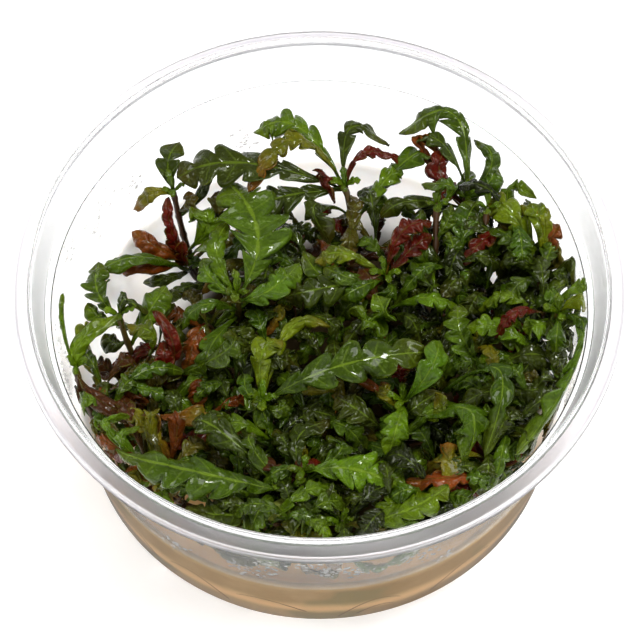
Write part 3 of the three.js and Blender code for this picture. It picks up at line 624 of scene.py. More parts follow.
def leaf_material(name, shine, shine_tint, gloss):
    """Glossy leaf with pale sunken veins and blisters between them, coloured by the attribute tint."""
    look = bpy.context.scene.culture_plants
    material, tree, shader = new_material(
        name, Specular_IOR_Level=shine, Specular_Tint=(*shine_tint, 1), Coat_Weight=gloss,
        Coat_Roughness=0.04)
    tint = attribute(tree, "tint", "Color")
    aside = math_node(tree, "ABSOLUTE", attribute(tree, "across", "Fac"))
    slanted = math_node(tree, "SUBTRACT", attribute(tree, "phase", "Fac"), times(tree, aside, 0.18))
    beat = math_node(tree, "ABSOLUTE", math_node(tree, "SUBTRACT", math_node(tree, "FRACT", slanted), 0.42))
    side_vein = times(tree, ramp(tree, beat, 0.015, 0.06, 1.0, 0.0), ramp(tree, aside, 0.55, 0.95, 1, 0))
    midrib = ramp(tree, aside, 0.03, 0.085, 1.0, 0.0)
    veins = math_node(tree, "MAXIMUM", midrib, times(tree, side_vein, 0.4))
    mottle = noise_value(tree, 900.0)
    base = color_mix(tree, ramp(tree, mottle, 0.35, 0.7, 0.0, 0.35), tint, (0.0, 0.0, 0.0))
    parts = added(tree, "ShaderNodeSeparateColor", {0: tint}).outputs
    greenness = ramp(tree, math_node(tree, "SUBTRACT", parts[1], parts[0]), -0.02, 0.03, 0.1, 0.6)
    veined = color_mix(tree, times(tree, veins, greenness), base, tuple(look.vein_color))
    tree.links.new(veined, shader.inputs["Base Color"])
    net = added(tree, "ShaderNodeTexVoronoi", {"Vector": object_place(tree), "Scale": 850.0},
                feature="DISTANCE_TO_EDGE").outputs["Distance"]
    blisters = times(tree, ramp(tree, beat, 0.0, 0.45), 0.5)
    relief = math_node(tree, "ADD", blisters, times(tree, ramp(tree, net, 0.0, 0.25), 0.35))
    relief = math_node(tree, "SUBTRACT", relief, times(tree, veins, 0.7))
    relief = math_node(tree, "ADD", relief, times(tree, noise_value(tree, 420.0), 0.6))
    bumped(tree, shader, relief, 0.2 * MM)
    tree.links.new(ramp(tree, mottle, 0.3, 0.7, 0.26, 0.4), shader.inputs["Roughness"])
    return material


def stem_material():
    """Satin stem with fine lengthways streaks, coloured by the attribute tint."""
    material, tree, shader = new_material("stem", Specular_IOR_Level=0.45, Coat_Weight=0.1)
    speckle = noise_value(tree, 1400.0)
    specks = ramp(tree, speckle, 0.4, 0.7, 0, 0.4)
    tree.links.new(color_mix(tree, specks, attribute(tree, "tint", "Color"), (0.02, 0.01, 0.0)),
                   shader.inputs["Base Color"])
    tree.links.new(ramp(tree, speckle, 0.3, 0.7, 0.3, 0.5), shader.inputs["Roughness"])
    bumped(tree, shader, speckle, 0.15 * MM)
    return material


def cup_material():
    """Clear thin plastic with faint moulding marks, satin over the ledge and tinted at the flange."""
    material, tree, shader = new_material("clear plastic", Transmission_Weight=1.0, IOR=1.45)
    marks = ramp(tree, noise_value(tree, 60.0, 2.0), 0.45, 0.75, 0.02, 0.10)
    _, _, height, axis = cup_place(tree)
    over_ledge = ramp(tree, height, 45.5 * MM, 46.5 * MM)
    satin = times(tree, over_ledge, ramp(tree, height, 53 * MM, 53.4 * MM, 1, 0))
    flange = times(tree, satin, ramp(tree, axis, 55.2 * MM, 55.5 * MM))
    roughness = math_node(tree, "ADD", marks, times(tree, satin, 0.26))
    tree.links.new(roughness, shader.inputs["Roughness"])
    tree.links.new(color_mix(tree, flange, CLEAR, FLANGE_TINT), shader.inputs["Base Color"])
    bumped(tree, shader, noise_value(tree, 35.0, 1.0), 0.08 * MM, 0.12)
    return material


def drop_material():
    """Whitish water beads."""
    material, tree, shader = new_material(
        "condensation", Base_Color=(0.93, 0.91, 0.88, 1), Transmission_Weight=0.5, IOR=1.33, Roughness=0.2)
    bumped(tree, shader, noise_value(tree, 500.0, 1.0), 0.02 * MM)
    return material


def gel_material():
    """Cloudy plant jelly: pale on top, tan where it is seen deep through the wall, with painted light and
    shade.
    """
    material, tree, shader = new_material(
        "plant jelly", IOR=1.34, Specular_IOR_Level=0.2, Subsurface_Weight=0.25, Subsurface_Scale=0.003)
    shader.inputs["Subsurface Radius"].default_value = (1.0, 0.8, 0.6)
    place, front, height, axis = cup_place(tree)
    cloud = noise_value(tree, 55.0, 5.0, 0.6)
    deep = color_mix(tree, ramp(tree, cloud, 0.35, 0.7), *map(linear, GEL_DEEP))
    blots = ramp(tree, noise_value(tree, 75.0, 1.0), 0.56, 0.64, 0.0, 0.6)
    blotted = color_mix(tree, blots, deep, linear(GEL_BLOT))
    warped = math_node(tree, "ADD", height, times(tree, cloud, 4 * MM))
    # Painted light: a lit band round the side, about 7 to 14 mm up
    glow = times(tree, ramp(tree, warped, 7 * MM, 9.5 * MM), ramp(tree, warped, 10 * MM, 14 * MM, 0.8, 0))
    foot = color_mix(tree, glow, blotted, linear(GEL_LIT_BAND))
    # Painted light and shade: the top is beige in front, where less light falls, and near white behind,
    # brightened against the leaves' shade
    top_lit_and_shaded = color_mix(tree, ramp(tree, front, -30 * MM, -5 * MM), *map(linear, GEL_TOPS_LIT_AND_SHADED))
    # Painted shade: the top darkens to GEL_SHADED within about 40 mm of the clump's foot, where the leaves
    # shade it
    aside = vector_node(tree, "DISTANCE", place, CLUMP_FOOT).outputs["Value"]
    uneven = math_node(tree, "ADD", aside, times(tree, cloud, 6 * MM))
    surface = color_mix(tree, ramp(tree, uneven, 37 * MM, 43 * MM), linear(GEL_SHADED), top_lit_and_shaded)
    facing_up = times(
        tree, ramp(tree, height, 15.5 * MM, 17.2 * MM), ramp(tree, axis, 48.0 * MM, 48.4 * MM, 1, 0))
    top = color_mix(tree, facing_up, foot, surface)
    # Painted shade: a darker band along the brim, where the jelly meets the wall, deeper in front than behind
    brim = math_node(tree, "ADD", height, times(tree, cloud, 1.5 * MM))
    shaded_brim_color = color_mix(tree, ramp(tree, front, -30 * MM, -10 * MM), *map(linear, GEL_SHADED_BRIMS))
    top = color_mix(tree, ramp(tree, brim, 19.1 * MM, 19.8 * MM), top, shaded_brim_color)
    tree.links.new(top, shader.inputs["Base Color"])
    tree.links.new(ramp(tree, cloud, 0.3, 0.7, 0.12, 0.35), shader.inputs["Roughness"])
    bumped(tree, shader, noise_value(tree, 160.0, 3.0), 0.4 * MM, 0.5)
    return material


def root_material():
    """Thin brown roots."""
    material, tree, shader = new_material("root", Roughness=0.55)
    shade = noise_value(tree, 600.0)
    tree.links.new(color_mix(tree, shade, linear((0.42, 0.28, 0.14)), linear((0.62, 0.50, 0.32))),
                   shader.inputs["Base Color"])
    bumped(tree, shader, shade, 0.1 * MM)
    return material


# Meshes

def new_piece(name, bm, materials, replaced=()):
    """A finished piece from a bmesh, riding on the cup's one body."""
    mesh = bpy.data.meshes.new(name)
    bm.to_mesh(mesh)
    bm.free()
    for polygon in mesh.polygons:
        polygon.use_smooth = True
    for material in materials:
        mesh.materials.append(material)
    piece = bpy.data.objects.new(name, mesh)
    bpy.context.scene.collection.objects.link(piece)
    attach(piece, "root")
    if replaced:
        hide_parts(*replaced)
    return piece


def plant_mesh():
    """A bmesh with the layers that the plants' finishes read."""
    bm = bmesh.new()
    bm.verts.layers.float_color.new("tint")
    bm.verts.layers.float.new("phase")
    bm.verts.layers.float.new("across")
    return bm


def spun(profile, segments):
    """A bmesh of a closed section, given from axis to axis, turned about the Z axis."""
    bm = bmesh.new()
    corners = [bm.verts.new((radius, 0, height)) for radius, height in profile]
    edges = [bm.edges.new(pair) for pair in zip(corners, corners[1:])]
    bmesh.ops.spin(bm, geom=corners + edges, cent=(0, 0, 0), axis=(0, 0, 1), angle=math.tau, steps=segments,
                   use_merge=True)
    bmesh.ops.remove_doubles(bm, verts=bm.verts, dist=1e-6)
    bmesh.ops.recalc_face_normals(bm, faces=bm.faces)
    return bm


def arc(center, radius, start, end, steps):
    """Points of a section's round corner; the angles are in degrees from the outward direction."""
    angles = [math.radians(start + (end - start) * i / steps) for i in range(steps + 1)]
    return [(center[0] + radius * math.cos(a), center[1] + radius * math.sin(a)) for a in angles]


def between(start, end):
    """Two points on a line between corners, one close beside each, that keep the line's shading."""
    reach = math.dist(start, end)
    shares = (SUPPORT / reach, 1 - SUPPORT / reach)
    return [tuple(a + (b - a) * share for a, b in zip(start, end)) for share in shares]


class Curve:
    """The curve that passes through three points, the second one half way along."""

    def __init__(self, start, middle, end):
        self.start = start
        self.knee = middle * 2 - start * 0.5 - end * 0.5
        self.end = end

    def point(self, u):
        """The point at a share u of the curve."""
        return self.start * (1 - u) ** 2 + self.knee * (2 * u * (1 - u)) + self.end * u * u

    def tangent(self, u):
        """The direction at a share u of the curve."""
        return ((self.knee - self.start) * (1 - u) + (self.end - self.knee) * u).normalized()

    def room(self, u, side):
        """How far a sheet may reach to this side before it meets itself inside the curve's bend."""
        speed = ((self.knee - self.start) * (1 - u) + (self.end - self.knee) * u) * 2
        turn = abs((self.start - self.knee * 2 + self.end).dot(side)) * 2
        return 0.8 * speed.length_squared / max(turn, 1e-9)

    def nearest(self, wanted):
        """The share of the curve that lies nearest to a point, short of its end."""
        shares = [i / 40 * (1 - STEM_END_SHARE / 2) for i in range(41)]
        return min(shares, key=lambda u: (self.point(u) - wanted).length)


def add_tube(bm, place, tangent, radius, color, rows, sides, material_index=STEM_INDEX):
    """Adds a closed tube to bm: a grid rolled up along a line, whose ends are drawn together."""
    tint = bm.verts.layers.float_color["tint"]
    made = bmesh.ops.create_grid(bm, x_segments=rows, y_segments=sides, size=1.0)["verts"]
    for vert in made:
        u = (vert.co.x + 1) / 2
        angle = math.pi * vert.co.y
        along = tangent(u)
        side = along.cross(TUBE_SIDE).normalized()
        out = side * math.cos(angle) + side.cross(along) * math.sin(angle)
        closed = 0.0 if u < 1e-6 or u > 1 - 1e-6 else 1.0
        vert.co = place(u) + out * radius(u) * closed
        vert[tint] = (*color(u), 1)
    for face in {face for vert in made for face in vert.link_faces}:
        face.material_index = material_index
    bmesh.ops.remove_doubles(bm, verts=made, dist=1e-6)


def half_width(leaf, u):
    """Half a leaf's width across its lobes at a share u of its length."""
    swell = PETIOLE_WIDTH + (1 - PETIOLE_WIDTH) * smooth(PETIOLE_SHARE / 2, WIDEST_SHARE, u)
    taper = max(0.0, u - TAPER_SHARE) / (1 - TAPER_SHARE)
    fullness = 1.0 if leaf.name in SMALL_LEAVES else FULLNESS
    return leaf.width * fullness * MM / 2 * swell * math.sqrt(max(0.0, 1 - taper ** 2))


def leaf_color(leaf, base, u, aside, place):
    """The blade's colour at a point: mottled, paler at the margin, young at the base and dry at some tips."""
    patch = 1 + 0.4 * noise.noise(place * 260) + 0.2 * noise.noise(place * 900)
    color = [c * patch for c in base]
    # Painted shade: leaves of the 'under' tint keep their darkened colour, with no young or dry parts
    if leaf.tint == "under":
        return color
    color = mixed(color, YOUNG, 0.22 * smooth(0.8, 1.0, aside) + 0.2 * (1 - smooth(0.0, 0.2, u)))
    reach = max(smooth(0.7, 1.0, u), smooth(0.75, 1.0, aside) * smooth(0.4, 0.9, u))
    return mixed(color, DRY_TIP, DRY_SHARE.get(leaf.tint, 0.1) * reach)


def row_share(step, count):
    """The share of the leaf's length at which a row lies, so that rows fall on the notches."""
    if step < PETIOLE_ROWS:
        return PETIOLE_SHARE * step / PETIOLE_ROWS
    return PETIOLE_SHARE + (1 - PETIOLE_SHARE) * (step - PETIOLE_ROWS) / (count - PETIOLE_ROWS)


class LeafRow:
    """What the points across one row of a leaf share."""

    def __init__(self, leaf, rib, u, twist, depth, thickness):
        level = (rib.end - rib.start).cross(UP).normalized()
        self.u = u
        self.spot = rib.point(u)
        self.along = rib.tangent(u)
        self.side = (level - self.along * level.dot(self.along)).normalized()
        self.side.rotate(Matrix.Rotation(twist * u, 3, self.along))
        self.up = self.side.cross(self.along)
        self.phase = (leaf.lobes or PLAIN_LEAF_RIBS) * max(0.0, u - PETIOLE_SHARE) / (1 - PETIOLE_SHARE)
        self.lobe = abs(math.sin(math.pi * self.phase)) ** LOBE_ROUNDNESS
        notch = depth * (1.15 - 0.5 * u) * (1 - self.lobe) * (1 - smooth(LAST_LOBE_SHARE, 1, u))
        self.full = min(half_width(leaf, u), rib.room(u, self.side))
        self.reach = self.full * (1 - (notch if leaf.lobes else 0))
        self.reach += thickness * 0.7 if 0.01 < u < 0.99 else 0
        self.small = min(1.0, self.full / (2 * MM))
        self.crimp = CRIMP_SHARE * self.full * (self.lobe if leaf.lobes else 0)


def add_leaf(bm, leaf, base, rng, fine=True):
    """Adds a leaf to bm: a grid laid along its midrib, with swept lobes, blisters and drooping margins."""
    look = bpy.context.scene.culture_plants
    tint = bm.verts.layers.float_color["tint"]
    phase_layer = bm.verts.layers.float["phase"]
    across_layer = bm.verts.layers.float["across"]
    rib = Curve(base, point_of(leaf.middle), point_of(leaf.tip))
    curl = look.margin_curl * rng.uniform(0.75, 1.5)
    twist = rng.uniform(-0.5, 0.5)
    wave = rng.uniform(0, math.tau)
    depth = look.lobe_depth * rng.uniform(0.85, 1.15)
    shade = rng.uniform(0.8, 1.2)
    color = [c * shade * rng.uniform(0.93, 1.07) for c in linear(TINTS[leaf.tint])]
    count = PETIOLE_ROWS + (8 if fine else 6) * (leaf.lobes or PLAIN_LEAF_RIBS)
    made = bmesh.ops.create_grid(bm, x_segments=count, y_segments=12 if fine else 8, size=1.0)["verts"]
    rows = {}
    for vert in made:
        step = round((vert.co.x + 1) / 2 * count)
        if step not in rows:
            rows[step] = LeafRow(leaf, rib, row_share(step, count), twist, depth, look.leaf_thickness)
        row = rows[step]
        across = math.copysign(abs(vert.co.y) ** 1.2, vert.co.y)
        aside = abs(across)
        bend = curl * aside
        flat = math.sin(bend) / curl
        droop = (1 - math.cos(bend)) / curl
        rise = aside ** 2 * row.crimp
        swing = math.sin(math.pi * row.phase + wave + (2.0 if across > 0 else 0.0))
        rise += WAVE_SHARE * row.full * aside ** 2 * swing
        rise += BLISTER * math.sin(math.tau * row.phase + 1.2) * aside * (1 - aside) * 4 * row.small
        rise -= GROOVE * math.exp(-(aside / 0.14) ** 2) * row.small
        rise += CRINKLE * noise.noise(row.spot * 300 + row.side * across * 2) * aside
        place = row.spot + row.side * (math.copysign(flat, across) * row.reach)
        place += row.up * (rise - droop * row.reach)
        place += row.along * (aside * row.reach * look.lobe_sweep * (1 - row.u ** 2))
        vert.co = kept_inside(place)
        vert[phase_layer] = row.phase
        vert[across_layer] = across
        vert[tint] = (*leaf_color(leaf, color, row.u, aside, vert.co), 1)
    thicken(bm, made, look.leaf_thickness, RUDDY_INDEX if leaf.tint in RUDDY else GREEN_INDEX)


def thicken(bm, made, thickness, material_index):
    """Gives a sheet its thickness: its faces are extruded and moved along the points' normals."""
    bmesh.ops.remove_doubles(bm, verts=made, dist=0.01 * MM)
    faces = list({face for vert in made if vert.is_valid for face in vert.link_faces})
    for face in faces:
        face.material_index = material_index
    bmesh.ops.recalc_face_normals(bm, faces=faces)
    for vert in {vert for face in faces for vert in face.verts}:
        vert.normal_update()
    grown = bmesh.ops.extrude_face_region(bm, geom=faces, use_keep_orig=True)["geom"]
    for vert in grown:
        if isinstance(vert, bmesh.types.BMVert):
            vert.co -= vert.normal * thickness
    walls = {face for vert in grown if isinstance(vert, bmesh.types.BMVert) for face in vert.link_faces}
    bmesh.ops.recalc_face_normals(bm, faces=faces + list(walls))


def outward(angle):
    """The level direction at an angle about the Z axis."""
    return Vector((math.cos(angle), math.sin(angle), 0))


def small_leaf(name, points, *look):
    """A leaf joined to its shoot, given by points in metres, with its width, pairs of lobes and tint."""
    return fused(name, *[tuple(point / MM) for point in points], *look)


def lower_leaves(shoot, stem, rng):
    """The older leaves in pairs down the stem, which fill the clump below its top."""
    leaves = []
    for k in range(shoot.lower_nodes):
        spot = stem.point(0.12 + 0.26 * k)
        for turn in (0, math.pi):
            angle = 1.3 * k + turn + rng.uniform(-0.5, 0.5) + len(shoot.name)
            out = outward(angle)
            length = rng.uniform(8, 13) * MM
            middle = spot + out * length * 0.55 + UP * rng.uniform(2.5, 5) * MM
            tip = spot + out * length + UP * rng.uniform(0, 4) * MM
            # Painted shade: LOWER_TINTS gives many lower leaves the darkened 'under' tint
            tint = rng.choice(LOWER_TINTS)
            if tip.y >= CLEAR_FRONT:
                leaves.append(small_leaf("lower", (spot, middle, tip), rng.uniform(4, 6.5), 4, tint))
    return leaves


def side_shoots():
    """The side shoots' places, spread evenly over the clump: for each shoot's name, the points of its own."""
    places = {shoot.name: [] for shoot in SHOOTS}
    rng = random.Random(21)
    for k in range(SIDE_SHOOTS):
        spot = outward(SUNFLOWER_TURN * k) * SIDE_SHOOT_REACH * math.sqrt((k + 0.5) / SIDE_SHOOTS)
        spot += Vector((rng.uniform(-1.5, 1.5), rng.uniform(-1.5, 1.5), 0)) * MM
        spot.z = SIDE_SHOOT_HEIGHT + CLUMP_SLOPE * spot.x + rng.uniform(-2.5, 3) * MM
        bare = spot.x < -20 * MM and spot.y > 4 * MM or spot.x < -32 * MM and spot.y > -4 * MM
        if bare or spot.y > BARE_BACK or spot.y < CLEAR_FRONT:
            continue
        places[nearest_shoot(spot)].append(spot)
    for k in range(WALL_SHOOTS):
        angle = WALL_ARC[0] + (WALL_ARC[1] - WALL_ARC[0]) * (k + rng.uniform(-0.3, 0.3)) / (WALL_SHOOTS - 1)
        spot = outward(angle) * WALL_SHOOT_REACH
        spot.z = WALL_SHOOT_HEIGHT + CLUMP_SLOPE * spot.x + rng.uniform(-1.5, 1.5) * MM
        places[nearest_shoot(spot)].append(spot)
    return places


def nearest_shoot(spot):
    """The name of the large shoot that stands nearest to a point."""
    return min(SHOOTS, key=lambda shoot: (point_of(shoot.stem[1]).xy - spot.xy).length).name


def side_shoot_leaves(top, rng):
    """The arching leaves round the end of a side shoot."""
    leaves = []
    tints = RUDDY_TINTS if top.x < RUDDY_LEFT else SIDE_TINTS
    if (top.xy - RED_SPOT).length < RED_REACH:
        tints = RED_TINTS
    turn = rng.uniform(0, math.tau)
    for k in range(SIDE_SHOOT_LEAVES):
        angle = turn + math.tau * k / SIDE_SHOOT_LEAVES * 2.4 + rng.uniform(-0.3, 0.3)
        out = outward(angle)
        length = rng.uniform(9, 19) * MM
        base = top - UP * (SIDE_SHOOT_LEAVES - k) * 0.8 * MM
        middle = base + out * length * 0.45 + UP * length * rng.uniform(0.25, 0.5)
        tip = base + out * length * rng.uniform(0.7, 0.95) + UP * length * rng.uniform(-0.3, 0.2)
        look = (rng.uniform(3.4, 5.8), rng.choice((4, 5, 6)), rng.choice(tints))
        leaves.append(small_leaf("side", (base, middle, tip), *look))
    return leaves


def crown_leaves(stem, rng):
    """The young leaves that stand at the top of the stem."""
    leaves = []
    top = stem.point(0.97)
    for k in range(4):
        angle = math.pi / 2 * k + rng.uniform(-0.4, 0.4)
        out = outward(angle)
        length = rng.uniform(2.5, 4.5) * MM
        middle = top + out * length * 0.35 + UP * length * 0.6
        tip = top + out * length * 0.8 + UP * length * 0.7
        leaves.append(small_leaf("young", (top, middle, tip), 1.6, 2, "bright"))
    return leaves


def add_stem(bm, stem, rng):
    """Adds the stem with its root end in the jelly and a swelling at each node."""
    look = bpy.context.scene.culture_plants
    lead = stem.tangent(0)
    depth = ROOTING_DEPTH / lead.z
    total = depth + (stem.end - stem.start).length
    share = depth / total
    low = linear(STEM_LOW)
    high = linear(mixed(STEM_HIGH, STEM_YOUNG, rng.uniform(0, 0.5)))

    def place(u):
        if u < share:
            return stem.start - lead * depth * (1 - u / share)
        return stem.point((u - share) / (1 - share))

    def tangent(u):
        return lead if u < share else stem.tangent((u - share) / (1 - share))

    def radius(u):
        swelling = math.exp(-((math.fmod(u * 7, 1) - 0.5) / 0.12) ** 2)
        return look.stem_radius * (0.86 + 0.22 * swelling) * (1 - 0.25 * u)

    add_tube(bm, place, tangent, radius, lambda u: mixed(low, high, u), rows=42, sides=12)


def add_twig(bm, twig, shares, color):
    """Adds a twig, as thick at its foot and its end as these shares of a stem."""
    radius = bpy.context.scene.culture_plants.stem_radius
    foot, end = shares
    add_tube(bm, twig.point, twig.tangent, lambda u: radius * (foot - (foot - end) * u), lambda u: color,
             rows=14, sides=8)


def add_stalk(bm, stem, wanted, rng):
    """Adds a twig from the stem to a leaf's base that stands off it, and returns where the leaf begins."""
    spot = stem.point(stem.nearest(wanted))
    if (wanted - spot).length < 2.5 * MM:
        return spot
    foot = stem.point(max(0.05, stem.nearest(wanted - UP * 6 * MM)))
    twig = Curve(foot, foot.lerp(wanted, 0.5) - UP * 0.8 * MM, wanted)
    add_twig(bm, twig, (0.6, 0.4), linear(mixed(STEM_HIGH, STEM_YOUNG, rng.uniform(0.1, 0.7))))
    return wanted


# Operators

class CULTURE_OT_jelly(bpy.types.Operator):
    """Builds the jelly in the foot of the cup and the roots that show through the wall"""

    bl_idname = "culture.jelly"
    bl_label = "Jelly and Roots"

    def execute(self, context):
        sizes = context.scene.culture_cup
        floor = sizes.wall - CONTACT
        foot = sizes.base_rounding
        brim = GEL_TOP + MENISCUS_RISE

        def edge(height):
            return outer_radius(height) - sizes.skin + CONTACT

        profile = [(0, floor), (sizes.base_radius - sizes.base_rounding, floor)]
        profile += [(edge(foot + (brim - foot) * k / 8), foot + (brim - foot) * k / 8) for k in range(9)]
        profile += [(edge(brim) - MENISCUS_WIDTH * k / 8, 0) for k in range(1, 9)]
        flat = edge(brim) - MENISCUS_WIDTH
        profile += [(flat * (1 - k / 16), 0) for k in range(1, 17)]
        # A height of 0 so far stands for the height of the surface there
        profile = [(r, z or gel_surface(r)) for r, z in profile]
        bm = spun(profile, sizes.segments)
        for vert in bm.verts:
            if vert.co.z > GEL_TOP - 0.1 * MM and math.hypot(vert.co.x, vert.co.y) < edge(brim) - 0.2 * MM:
                vert.co.z += 0.5 * MM * noise.noise(vert.co * 90)
        new_piece("plant_jelly", bm, [gel_material()], ["gel"]).visible_shadow = False
        self.roots(edge)
        return {"FINISHED"}

    def roots(self, edge):
        """The thin roots that lie against the wall in front and to the sides."""
        bm = plant_mesh()
        for root in ROOTS:
            self.root(bm, edge, *root)
        new_piece("fine_roots", bm, [root_material()])

    def root(self, bm, edge, start, turn, low, rise):
        """A root that arches up the wall, whose radius at a height is given by edge."""

        def place(u):
            height = (low + rise * math.sin(ROOT_ARCH * u)) * MM
            return outward(start + turn * u) * (edge(height) - 0.02 * MM) + UP * height

        def tangent(u):
            return (place(u + 0.01) - place(u - 0.01)).normalized()

        add_tube(bm, place, tangent, lambda u: ROOT_RADIUS * (1 - 0.6 * u), lambda u: ROOT_TINT,
                 rows=30, sides=6, material_index=0)


class CULTURE_OT_cup(bpy.types.Operator):
    """Builds the clear cup by turning its section, with a round foot, a step, a flange and a lip"""

    bl_idname = "culture.cup"
    bl_label = "Clear Cup"

    def execute(self, context):
        sizes = context.scene.culture_cup
        skin = sizes.skin
        top = CUP_HIGH.z
        edge = CUP_HIGH.x
        shoulder = sizes.ledge_radius + sizes.ledge_step
        skirt = sizes.flange_height + sizes.wall - skin - sizes.skirt_drop
        flange_top = sizes.flange_height + sizes.wall
        flange_foot = flange_top - skin
        rounding = sizes.base_rounding
        half = skin / 2
        ledge = sizes.ledge_height
        ledge_top = ledge + sizes.ledge_step
        rim_foot = (sizes.lip_radius - skin, flange_foot)
        profile = [(0, 0), (sizes.base_radius - 2 * rounding, 0)]
        profile += arc((sizes.base_radius - rounding, rounding), rounding, -90, -6, 6)
        heights = (rounding + SUPPORT, *STEPS, ledge - CORNER - SUPPORT)
        profile += [(outer_radius(height), height) for height in heights]
        profile += arc((sizes.ledge_radius - CORNER, ledge - CORNER), CORNER, 0, 40, 3)
        profile += [(shoulder - 0.2 * MM, ledge_top - 0.15 * MM), (shoulder, ledge_top)]
        profile += between((shoulder, ledge_top), rim_foot)
        profile += [(rim_foot[0] + CORNER, flange_foot)]
        profile += [(edge - skin - CORNER, flange_foot), (edge - skin, flange_foot - CORNER)]
        profile += arc((edge - half, skirt + half), half, -180, 0, 6)
        profile += arc((edge - EDGE_ROUNDING, flange_top - EDGE_ROUNDING), EDGE_ROUNDING, 0, 90, 4)
        profile += [(sizes.lip_radius + CORNER, flange_top), (sizes.lip_radius, flange_top + CORNER)]
        profile += arc((sizes.lip_radius - half, top - half), half, 0, 180, 6)
        inner_top = (sizes.lip_radius - skin, flange_top - CORNER)
        inner_ledge = (shoulder - skin, ledge_top + skin / 3)
        inner_step = sizes.ledge_radius - skin
        profile += [inner_top, *between(inner_top, inner_ledge), inner_ledge]
        profile += [(inner_step + 0.06 * MM, ledge + skin / 3), (inner_step, ledge)]
        heights = (ledge - SUPPORT, *reversed(STEPS), rounding + SUPPORT, rounding)
        profile += [(outer_radius(height) - skin, height) for height in heights]
        profile += [(sizes.base_radius - rounding, sizes.wall), (0, sizes.wall)]
        cup = new_piece("clear_cup", spun(profile, sizes.segments), [cup_material()], ["cup"])
        cup.data.set_sharp_from_angle(angle=SHARP_ANGLE)
        cup.visible_shadow = False
        return {"FINISHED"}


class CULTURE_OT_drops(bpy.types.Operator):
    """Scatters beads of condensation over the inside of the wall"""

    bl_idname = "culture.drops"
    bl_label = "Condensation"

    def execute(self, context):
        sizes = context.scene.culture_cup
        rng = random.Random(5)
        bm = bmesh.new()
        for count, angles, heights in DROP_FIELDS:
            for _ in range(count):
                patch = (rng.uniform(*angles), rng.uniform(*heights))
                for _ in range(round(DROPS_IN_PATCH * sizes.drop_share)):
                    angle = math.radians(patch[0] + rng.gauss(0, 1.8))
                    height = (patch[1] + rng.gauss(0, 1.8)) * MM
                    radius = rng.uniform(0.14, 0.30) * MM
                    shell = outer_radius(height) - sizes.skin - 0.1 * radius
                    spot = outward(angle) * shell + UP * height
                    flat = Matrix.Diagonal((0.8, rng.uniform(1.0, 2.4), rng.uniform(0.6, 1.0), 1))
                    place = Matrix.Translation(spot) @ Matrix.Rotation(angle, 4, "Z") @ flat
                    bmesh.ops.create_uvsphere(bm, u_segments=8, v_segments=5, radius=radius, matrix=place)
        new_piece("condensation_drops", bm, [drop_material()])
        return {"FINISHED"}


class CULTURE_OT_shoots(bpy.types.Operator):
    """Builds each shoot: its stem, the leaves joined to it and the older leaves below"""

    bl_idname = "culture.shoots"
    bl_label = "Shoots"

    def execute(self, context):
        green = leaf_material("leaf blade", 0.2, (0.8, 1.0, 0.4), 0.3)
        ruddy = leaf_material("ruddy leaf blade", 0.15, (1.0, 0.8, 0.5), 0.2)
        materials = [green, stem_material(), ruddy]
        places = side_shoots()
        for number, shoot in enumerate(SHOOTS):
            rng = random.Random(100 + number)
            bm = plant_mesh()
            stem = Curve(*map(point_of, shoot.stem))
            for leaf in shoot.leaves:
                base = add_stalk(bm, stem, point_of(leaf.base), rng)
                if leaf.own:
                    self.large_leaf(shoot, leaf, base, rng, materials)
                else:
                    add_leaf(bm, leaf, base, rng)
            for leaf in lower_leaves(shoot, stem, rng) + crown_leaves(stem, rng):
                add_leaf(bm, leaf, point_of(leaf.base), rng, fine=False)
            for top in places[shoot.name]:
                self.side_shoot(bm, stem, top, rng)
            add_stem(bm, stem, rng)
            new_piece(f"{shoot.name}_shoot", bm, materials, [f"shoot_{shoot.name}"])
        return {"FINISHED"}

    def side_shoot(self, bm, stem, top, rng):
        """A twig from the stem with arching leaves round its end."""
        foot = stem.point(rng.uniform(0.1, 0.4))
        twig = Curve(foot, foot.lerp(top, 0.55) - UP * 3 * MM, top)
        add_twig(bm, twig, (0.75, 0.45), linear(mixed(STEM_LOW, STEM_HIGH, rng.uniform(0, 1))))
        for leaf in side_shoot_leaves(top, rng):
            add_leaf(bm, leaf, point_of(leaf.base), rng, fine=False)

    def large_leaf(self, shoot, leaf, base, rng, materials):
        """A large leaf as a piece of its own."""
        bm = plant_mesh()
        add_leaf(bm, leaf, base, rng)
        for face in bm.faces:
            face.material_index = 0
        material = materials[RUDDY_INDEX if leaf.tint in RUDDY else GREEN_INDEX]
        name = f"{shoot.name}_{leaf.name}"
        new_piece(f"{name}_leaf", bm, [material], [f"leaf_{name}"])


